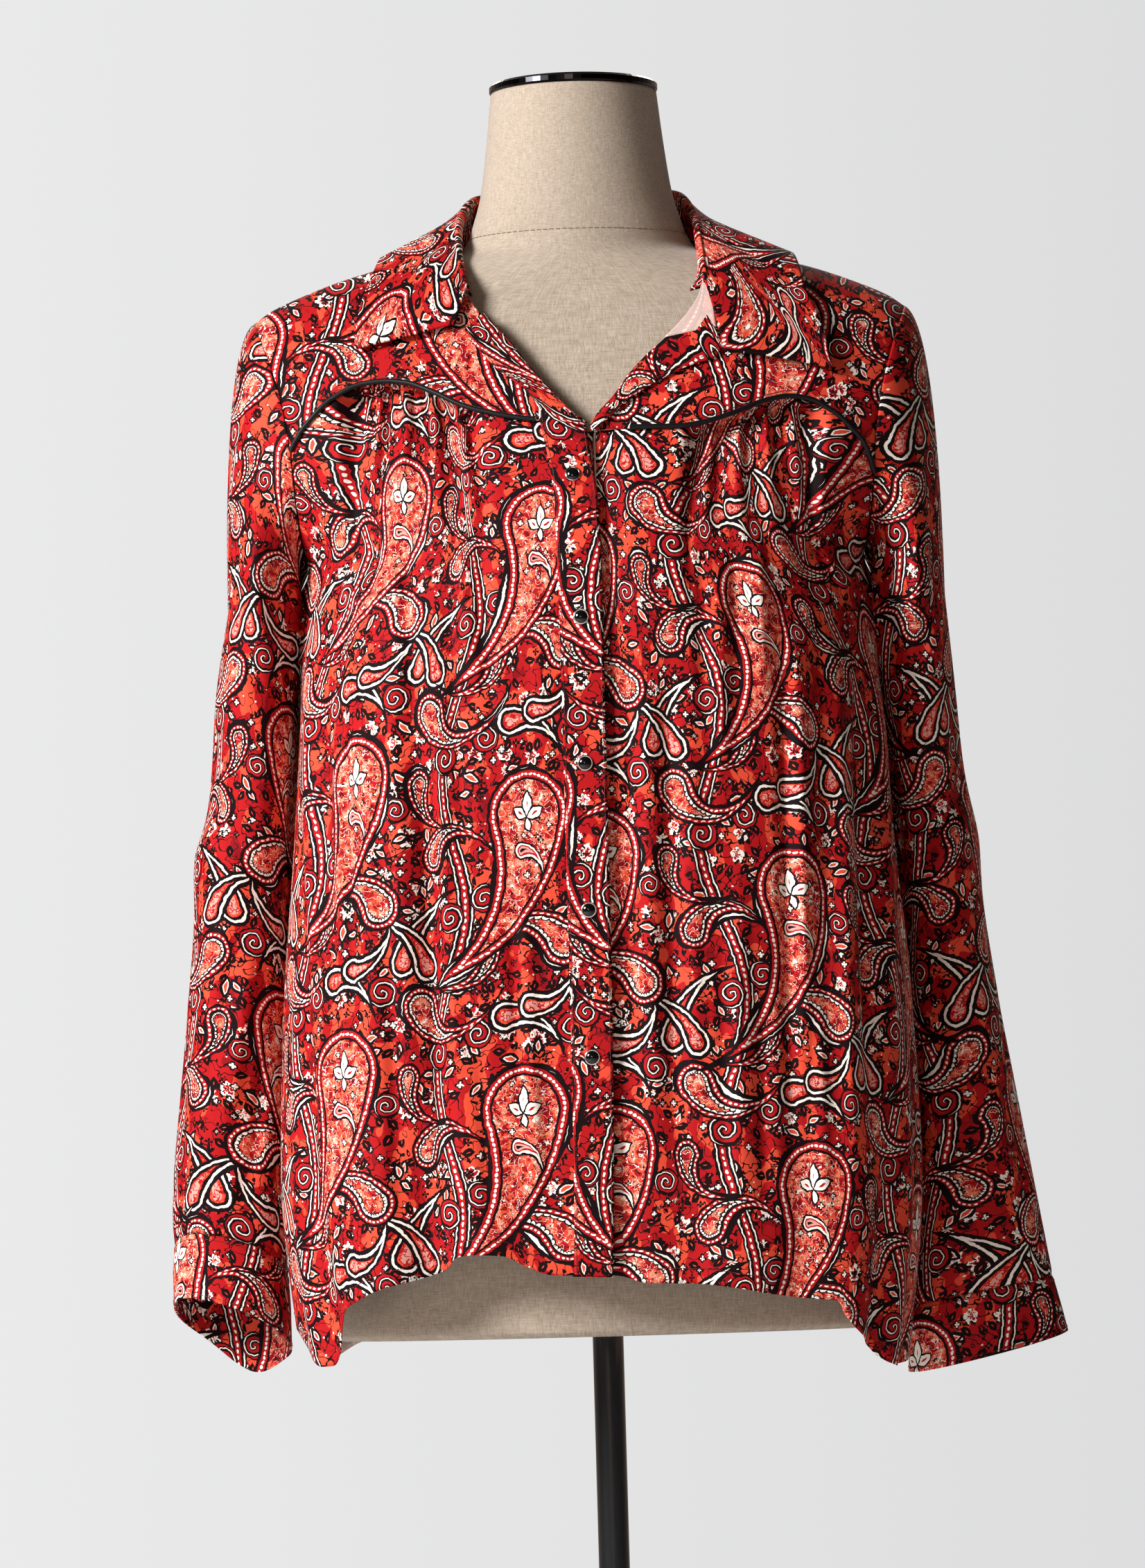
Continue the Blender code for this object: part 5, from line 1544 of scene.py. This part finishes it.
class Skin:
    """The outer side of pieces that another piece lies on."""

    def __init__(self, *grids):
        spots, faces = [], []
        for grid, flip in grids:
            rows, columns = grid.shape[:2]
            i, j = np.meshgrid(np.arange(rows - 1), np.arange(columns - 1), indexing="ij")
            at = (i * columns + j).ravel() + len(spots)
            corners = np.stack([at, at + columns, at + columns + 1, at + 1], axis=1)
            faces += (corners[:, ::-1] if flip else corners).tolist()
            spots += grid.reshape(-1, 3).tolist()
        self.tree = BVHTree.FromPolygons([Vector(s) for s in spots], faces)

    def raised(self, point, lift, only_up=False):
        point = Vector(point)
        nearest, facing, _, _ = self.tree.find_nearest(point)
        gap = lift - (point - nearest).dot(facing)
        return point + facing * (max(gap, 0.0) if only_up else gap)


def strip(rows, along, across):
    x = mix(across, rows.edge_x(along), rows.seam_x(along))
    h = mix(across, rows.edge_h(along), rows.seam_h(along))
    return front_point(x, h)


right_skin = Skin((fronts["right"], True), (yokes["right"], True))
left_skin = Skin((fronts["left"], False), (yokes["left"], False))


def make_front_band():
    along = np.linspace(604, 0, 300)[:, None]
    across = np.linspace(0, 1, 17)
    flat = strip(BAND, along, across)
    lift = 1.5 + 0.5 * np.sin(across * pi) ** 0.5
    points = np.array([[right_skin.raised(p, lift[j]) for j, p in enumerate(row)] for row in flat])
    uv = np.stack(np.broadcast_arrays(across * 26 - 8, along), axis=2)
    crepe_piece(
        "front_band", points, uv, flip=True, thick=BAND_THICK
    )
    return points


band_points = make_front_band()


def make_under_band():
    h = np.linspace(546, 37, 160)[:, None]
    edge = curve_of([40, 150, 300, 450, 545], [-20, -19, -18, -18, -12])
    across = np.linspace(0, 1, 9)
    x = mix(across, edge(h), UNDER_SEAM_X(h))
    points = body_point(angle_of(x, h), np.broadcast_to(h, x.shape), -LAP_DEPTH)
    uv = np.stack(np.broadcast_arrays(across * 26 + 70, h), axis=2)
    crepe_piece("under_band", points, uv, thick=BAND_THICK)


make_under_band()

LAPEL = table(
    "edge_x edge_h seam_x seam_h",
    [
        (0, 4, 548.5, 9, 545.5), (8, 9.2, 556.5, 15, 552), (24, 19.2, 567.5, 25, 561),
        (40, 29.3, 581.5, 38, 571), (56, 40.3, 593.5, 51, 578.5), (71, 51.3, 603.5, 67, 586),
        (87, 62, 615, 81, 590.5), (104, 72, 629, 87, 598),
    ],
)


def make_lapel():
    along = np.linspace(104, 0, 90)[:, None]
    across = np.linspace(0, 1, 20)
    flat = strip(LAPEL, along, across)
    lift = 2.2 + 1.2 * np.sin(across * pi)
    points = np.array([[left_skin.raised(p, lift[j]) for j, p in enumerate(row)] for row in flat])
    uv = np.stack(np.broadcast_arrays(across * 18 + 90, along + 30), axis=2)
    crepe_piece("left_lapel", points, uv, thick=LAPEL_THICK)
    return points


lapel_points = make_lapel()


def make_lapel_inside():
    """The pale wrong side of the lapel's upper end, which rolls open beside the neck."""
    share = np.linspace(0, 1, 40)[:, None]
    across = np.linspace(0, 1, 20)
    left_h, right_h = mix(share, 657, 603.5), mix(share, 657, 610)
    left_x = LEFT.neckline.across(left_h) - 0.3
    right_x = curve_of([610, 637.5, 657], [83, 80.5, 79.5])(right_h)
    flat = front_point(mix(across, left_x, right_x), mix(across, left_h, right_h))
    points = np.array([[left_skin.raised(p, 3.3) for p in row] for row in flat])
    uv = np.stack(np.broadcast_arrays(across * 20 + 12, 120 - share * 55), axis=2)
    mesh = mesh_from("lapel_inside", points, uv)
    piece = show("lapel_inside", mesh, WRONG_SIDE, ())
    solid = piece.modifiers.new("cloth thickness", "SOLIDIFY")
    solid.thickness = CLOTH * 0.001
    solid.offset = -1.0


make_lapel_inside()

# ---- 11. Piping ---------------------------------------------------------------------
# Black satin, cut on the bias, sewn round a cord and caught in the yoke seam. It is 3 mm
# thick and follows the seam's curve from the band to the armhole.


def black_satin():
    """Satin weave in black: a soft bright line along the top of the cord."""
    material, tree, shader = new_material("black_satin_piping")
    place = tree.nodes.new("ShaderNodeTexCoord").outputs["Object"]
    yarn = node(tree, "TexNoise", {"Vector": place, "Scale": 2600.0, "Detail": 1.0})
    bump = node(tree, "Bump", {"Height": yarn, "Strength": 0.25, "Distance": 0.0003})
    shader.inputs["Base Color"].default_value = linear("#0B090D")
    shader.inputs["Roughness"].default_value = 0.5
    shader.inputs["Specular IOR Level"].default_value = 0.25
    tree.links.new(bump, shader.inputs["Normal"])
    return material


SATIN = black_satin()


def make_piping(side, skin):
    name = f"{side.name}_piping"
    line = bpy.data.curves.new(f"{name}_cord", "CURVE")
    line.dimensions = "3D"
    line.bevel_depth, line.bevel_resolution = 0.0016, 4
    line.use_fill_caps = True
    spline = line.splines.new("POLY")
    across = mix(np.sin(np.linspace(0, pi / 2, 120)), 28.5, side.seam.keys[-1] - 1.0)
    spline.points.add(len(across) - 1)
    for point, x in zip(spline.points, across):
        spot = skin.raised(front_point(side.sign * x, side.seam.height(x)), 1.9)
        point.co = (spot.x * 0.001, spot.y * 0.001, (spot.z + FORM_BASE) * 0.001, 1)
    show(f"{name}_cord", line, SATIN, [name])


make_piping(RIGHT, right_skin)
make_piping(LEFT, left_skin)

# ---- 12. Collar ---------------------------------------------------------------------
# Stand and leaf of doubled crepe with a light stiffening, sewn round the neck. The leaf
# rolls over the stand and lies on the yokes, and its points are open in front.

# face, point of the neckline it stands on, roll at the top, outer edge of the leaf
COLLAR = [
    ("front", -67.8, 637, -68.5, -62, 643.5, -75.6, 614),
    ("front", -71, 644, -71.2, -52, 653, -106, 607.5),
    ("front", -74, 651.5, -73.2, -40, 664, -136.3, 602),
    ("front", -76.5, 659.5, -74.2, -25, 676.5, -133, 628),
    ("front", -79, 670, -74, -9, 688.5, -126, 648),
    ("back", -78.5, 678, -72, 9, 699, -117, 665),
    ("back", -71, 674, -64, 35, 711, -98, 652),
    ("back", -40, 664, -38, 59, 717, -58, 646),
    ("back", 0, 661, 0, 67, 718, 0, 643),
    ("back", 40, 664, 38, 59, 717, 58, 646),
    ("back", 71, 674, 64, 35, 711, 100, 650),
    ("back", 78.5, 678, 72, 9, 698, 124, 661),
    ("front", 79.2, 668, 74.5, -9, 687, 138, 632),
    ("front", 78, 655, 75.5, -25, 675, 147, 605),
    ("front", 75.5, 647, 76.8, -41, 661, 150.5, 582),
    ("front", 73, 641.5, 77.3, -54, 651, 119, 588),
    ("front", 70, 637, 77.5, -63, 642, 86.5, 592.5),
]


def over_shoulder(point):
    beside = abs(point.y - float(front_y(point.x, SHOULDER.height(abs(point.x)))))
    if beside > 16.0:
        return point
    lowest = float(SHOULDER.height(abs(point.x))) + 7.0 - beside * 0.3
    return Vector((point.x, point.y, max(point.z, lowest)))


def smooth_through(points, count):
    """More rows along the first axis of a grid, on a curve through the given ones."""
    last = len(points) - 1
    at = np.linspace(0, last, count)
    i = np.minimum(at.astype(int), last - 1)
    s = (at - i)[:, None, None]
    before, after = points[np.maximum(i - 1, 0)], points[np.minimum(i + 2, last)]
    start, end = points[i], points[i + 1]
    return 0.5 * (
        2 * start
        + (end - before) * s
        + (2 * before - 5 * start + 4 * end - after) * s**2
        + (3 * start - before - 3 * end + after) * s**3
    )


def make_collar():
    skin = Skin((yokes["right"], True), (yokes["left"], False), (back_points, False))
    keyed = []
    for face, neck_x, neck_h, roll_x, roll_y, roll_h, edge_x, edge_h in COLLAR:
        surface = front_y if face == "front" else back_y
        neck = Vector((neck_x, float(surface(neck_x, neck_h)), neck_h))
        neck += Vector((-neck.x, -neck.y, 0)).normalized() * 2.4
        edge_h = min(edge_h, float(SHOULDER.height(abs(edge_x))))
        edge = (edge_x, float(surface(edge_x, edge_h)), edge_h)
        keyed.append((*neck, roll_x, roll_y, roll_h, *edge))
    curves = [curve_of(range(len(keyed)), column) for column in zip(*keyed)]
    grid = []
    for key in np.linspace(0, len(COLLAR) - 1, 81):
        places = [float(curve(key)) for curve in curves]
        neck, roll, edge = Vector(places[:3]), Vector(places[3:6]), Vector(places[6:])
        edge = over_shoulder(skin.raised(edge, 6.2))
        away = Vector((edge.x - roll.x, edge.y - roll.y, 0)).normalized()
        inner = roll - away * 2.6 - Vector((0, 0, 2.9))
        outer = roll + away * 2.6 - Vector((0, 0, 2.9))
        leaf = [skin.raised(outer.lerp(edge, f), 4.6, True) for f in (0.2, 0.45, 0.72)]
        leaf = [over_shoulder(point) for point in leaf]
        grid.append([neck, neck.lerp(inner, 0.5), inner, roll, outer, *leaf, edge])
    grid = np.array(grid)
    grid = smooth_through(grid, 220)
    grid = smooth_through(grid.transpose(1, 0, 2), 49).transpose(1, 0, 2)
    down = np.concatenate(
        [np.zeros((220, 1)), np.cumsum(np.linalg.norm(np.diff(grid, axis=1), axis=2), axis=1)],
        axis=1,
    )
    along = run_across(grid.transpose(1, 0, 2), 30)[:, None]
    uv = np.stack(np.broadcast_arrays(along + 15, 200 - down), axis=2)
    piece = crepe_piece("collar", grid, uv, thick=COLLAR_THICK)
    piece.modifiers[0].offset = 0.0
    return grid


collar_points = make_collar()

# ---- 13. Topstitching ---------------------------------------------------------------
# Lockstitch in dark red polyester thread, eight stitches to 25 mm, that holds the hems and
# the edges of the yokes, bands, cuffs and collar flat.


def in_from_edge(points, distance):
    """The line on a piece at one distance above its last row."""
    upward = points[::-1]
    run = run_down(upward)
    return np.array(
        [
            [np.interp(distance, run[:, j], upward[:, j, k]) for k in range(3)]
            for j in range(points.shape[1])
        ]
    )


def topstitch():
    rows = []
    for grid, flip in (
        (back_points, False), (fronts["right"], True), (fronts["left"], False),
    ):
        rows.append((in_from_edge(grid, HEM_FOLD), Skin((grid, flip))))
    for side in (RIGHT, LEFT):
        grid = yokes[side.name]
        rows.append((in_from_edge(grid, 4.5)[6:-3], Skin((grid, side.sign < 0))))
        grid = cuffs[side.name]
        grid = np.concatenate([grid, grid[:, :1]], axis=1)
        for ring in (in_from_edge(grid, 2.5), in_from_edge(grid[::-1], 3.0)):
            rows.append((ring, Skin((grid, side.sign > 0))))
    band_skin = Skin((band_points, True))
    rows += [(band_points[2:-2, 1], band_skin), (band_points[2:-2, 15], band_skin)]
    lapel_skin = Skin((lapel_points, False))
    rows += [(lapel_points[3:-3, 2], lapel_skin), (lapel_points[3:-3, 17], lapel_skin)]
    collar_skin = Skin((collar_points, False))
    rows.append((in_from_edge(collar_points.transpose(1, 0, 2), 5.5)[5:-5], collar_skin))
    rows.append((in_from_edge(collar_points, 5.5)[22:-6], collar_skin))
    rows.append((in_from_edge(collar_points[::-1], 5.5)[22:-6], collar_skin))
    raised = [[tuple(skin.raised(spot, 0.1)) for spot in row] for row, skin in rows]
    stitched("topstitching", raised, thread("dark_red_thread", "#6E1015"))


topstitch()

# ---- 14. Press fasteners ------------------------------------------------------------
# Five press fasteners: domed brass caps in black enamel with thin bright rims, riveted
# through the front band. Their sockets under it don't show.


SNAPS, FIRST_SNAP, SNAP_SPACING = 5, 482.6, 87.9  # the first one's height and their spacing
CAP = [(0.01, 2.6), (1.3, 2.5), (2.5, 2.15), (3.4, 1.6), (3.95, 0.9), (4.0, 0.3)]
RIM = [(3.85, 0.95), (4.2, 1.15), (4.6, 0.95), (4.8, 0.5), (4.8, 0.05)]


def make_snaps():
    """Cap and rim of each fastener, turned about the line that stands out of the band."""
    enamel, tree, shader = new_material("black_enamel_cap")
    shader.inputs["Base Color"].default_value = linear("#0A0A0C")
    shader.inputs["Roughness"].default_value = 0.08
    shader.inputs["IOR"].default_value = 1.55
    steel, tree, shader = new_material("nickel_plated_rim")
    shader.inputs["Base Color"].default_value = linear("#C9CBD0")
    shader.inputs["Metallic"].default_value = 1.0
    shader.inputs["Roughness"].default_value = 0.18
    skin = Skin((band_points, True))
    for number in range(SNAPS):
        along = FIRST_SNAP - number * SNAP_SPACING
        middle = Vector(strip(BAND, np.array(along), np.array(0.5)))
        nearest, facing, _, _ = skin.tree.find_nearest(middle)
        around = facing.cross(Vector((0, 0, 1))).normalized()
        up = around.cross(facing)
        for part, profile, material in (("cap", CAP, enamel), ("rim", RIM, steel)):
            turn = np.linspace(0, 2 * pi, 33)[:-1]
            ring = np.cos(turn)[:, None] * np.array(around) + np.sin(turn)[:, None] * np.array(up)
            grid = np.array(
                [np.array(nearest) + ring * r + np.array(facing) * z for r, z in profile]
            )
            mesh = mesh_from(f"snap_{number + 1}_{part}", grid, tube=True, flip=True)
            replaced = [f"snap_{number + 1}"] if part == "cap" else []
            show(f"snap_{number + 1}_{part}", mesh, material, replaced)


make_snaps()

# ---- 15. Floor, light and camera ----------------------------------------------------
# A pale paper floor before a bright wall of glowing background, with painted light brighter on
# its left; one large soft window of light from high on the left, hardly any fill from the front,
# and a long lens level with the blouse.


FLOOR_RADIUS = 11.0
LAMPS = [  # name, place, what it aims at, size in m, power in W, colour
    ("key_window", (-2.5, -1.95, 2.45), (0.0, 0, 1.15), 1.1, 208, "#FFFDFB"),
    ("fill_front", (-0.6, -5.4, 1.9), (0, 0, 1.1), 1.6, 28, "#FFE4D0"),
    ("wall_bounce", (0.2, 3.8, 3.4), (0, 0, 1.2), 2.0, 60, "#FFF4EA"),
]


def make_studio():
    paper, tree, shader = new_material("pale_paper_floor")
    shader.inputs["Base Color"].default_value = linear("#E6E6E6")
    shader.inputs["Roughness"].default_value = 0.9
    turn = np.linspace(0, 2 * pi, 65)[:-1]
    mesh = bpy.data.meshes.new("paper_floor")
    rim = [(FLOOR_RADIUS * cos(t), FLOOR_RADIUS * sin(t), 0) for t in turn]
    mesh.from_pydata(rim, [], [list(range(64))])
    mesh.materials.append(paper)
    floor = bpy.data.objects.new("paper_floor", mesh)
    bpy.context.scene.collection.objects.link(floor)
    for name, place, aim, size, power, tint in LAMPS:
        lamp = bpy.data.lights.new(name, "AREA")
        lamp.shape, lamp.size, lamp.energy = "SQUARE", size, power
        lamp.color = linear(tint)[:3]
        lit = bpy.data.objects.new(name, lamp)
        lit.location = place
        lit.rotation_euler = (Vector(aim) - Vector(place)).to_track_quat("-Z", "Y").to_euler()
        lit.visible_camera = False
        bpy.context.scene.collection.objects.link(lit)
    world = bpy.data.worlds.new("studio")
    world.use_nodes = True
    tree = world.node_tree
    way = node(tree, "SeparateXYZ", [node(tree, "TexCoord")], whole=True)
    # The wall that the camera sees is glowing background with painted light, brighter on the left
    # and darker on the right as if lit from the window; other rays get the room's dim warm light,
    # brighter from behind.
    backdrop_painted_light = {
        "Value": way.outputs[0],
        "From Min": -0.09,
        "From Max": 0.09,
        "To Min": 0.84,
        "To Max": 0.73,
    }
    room = {
        "Value": way.outputs[1],
        "From Min": -0.1,
        "From Max": 0.8,
        "To Min": 0.03,
        "To Max": 0.3,
    }
    shown = [node(tree, "MapRange", limits) for limits in (room, backdrop_painted_light)]
    seen = node(tree, "LightPath")
    strength = node(tree, "Mix", {0: seen, 2: shown[0], 3: shown[1]})
    tree.links.new(strength, tree.nodes["Background"].inputs[1])
    tone = node(tree, "MixRGB", [seen, linear("#FFE2CC"), linear("#FDFDFE")])
    tree.links.new(tone, tree.nodes["Background"].inputs[0])
    bpy.context.scene.world = world
    bpy.context.scene.view_settings.view_transform = "Standard"


make_studio()


PHOTO_HEIGHT, FOCAL, MIDDLE_OFF = 2263, 10040, -29  # in the photo's pixels
CAMERA_AWAY, CAMERA_HIGH = 4.3, 0.8886


def make_camera():
    """Across the room with a long lens, pitched up a little and turned 1.6 degrees."""
    lens = bpy.data.cameras.new("long_lens")
    lens.sensor_fit, lens.sensor_height = "VERTICAL", 36.0
    lens.lens = FOCAL / PHOTO_HEIGHT * lens.sensor_height
    lens.shift_x = MIDDLE_OFF / PHOTO_HEIGHT
    lens.clip_end = 30
    pitch, roll = radians(3.333), radians(-1.6)
    ahead = Vector((0, cos(pitch), sin(pitch)))
    right = Vector((1, 0, 0))
    up = right.cross(ahead)
    across = right * cos(roll) + up * sin(roll)
    over = up * cos(roll) - right * sin(roll)
    turn = Matrix((across, over, -ahead)).transposed()
    eye = bpy.data.objects.new("camera", lens)
    eye.matrix_world = Matrix.Translation((0, -CAMERA_AWAY, CAMERA_HIGH)) @ turn.to_4x4()
    bpy.context.scene.collection.objects.link(eye)
    bpy.context.scene.camera = eye


make_camera()
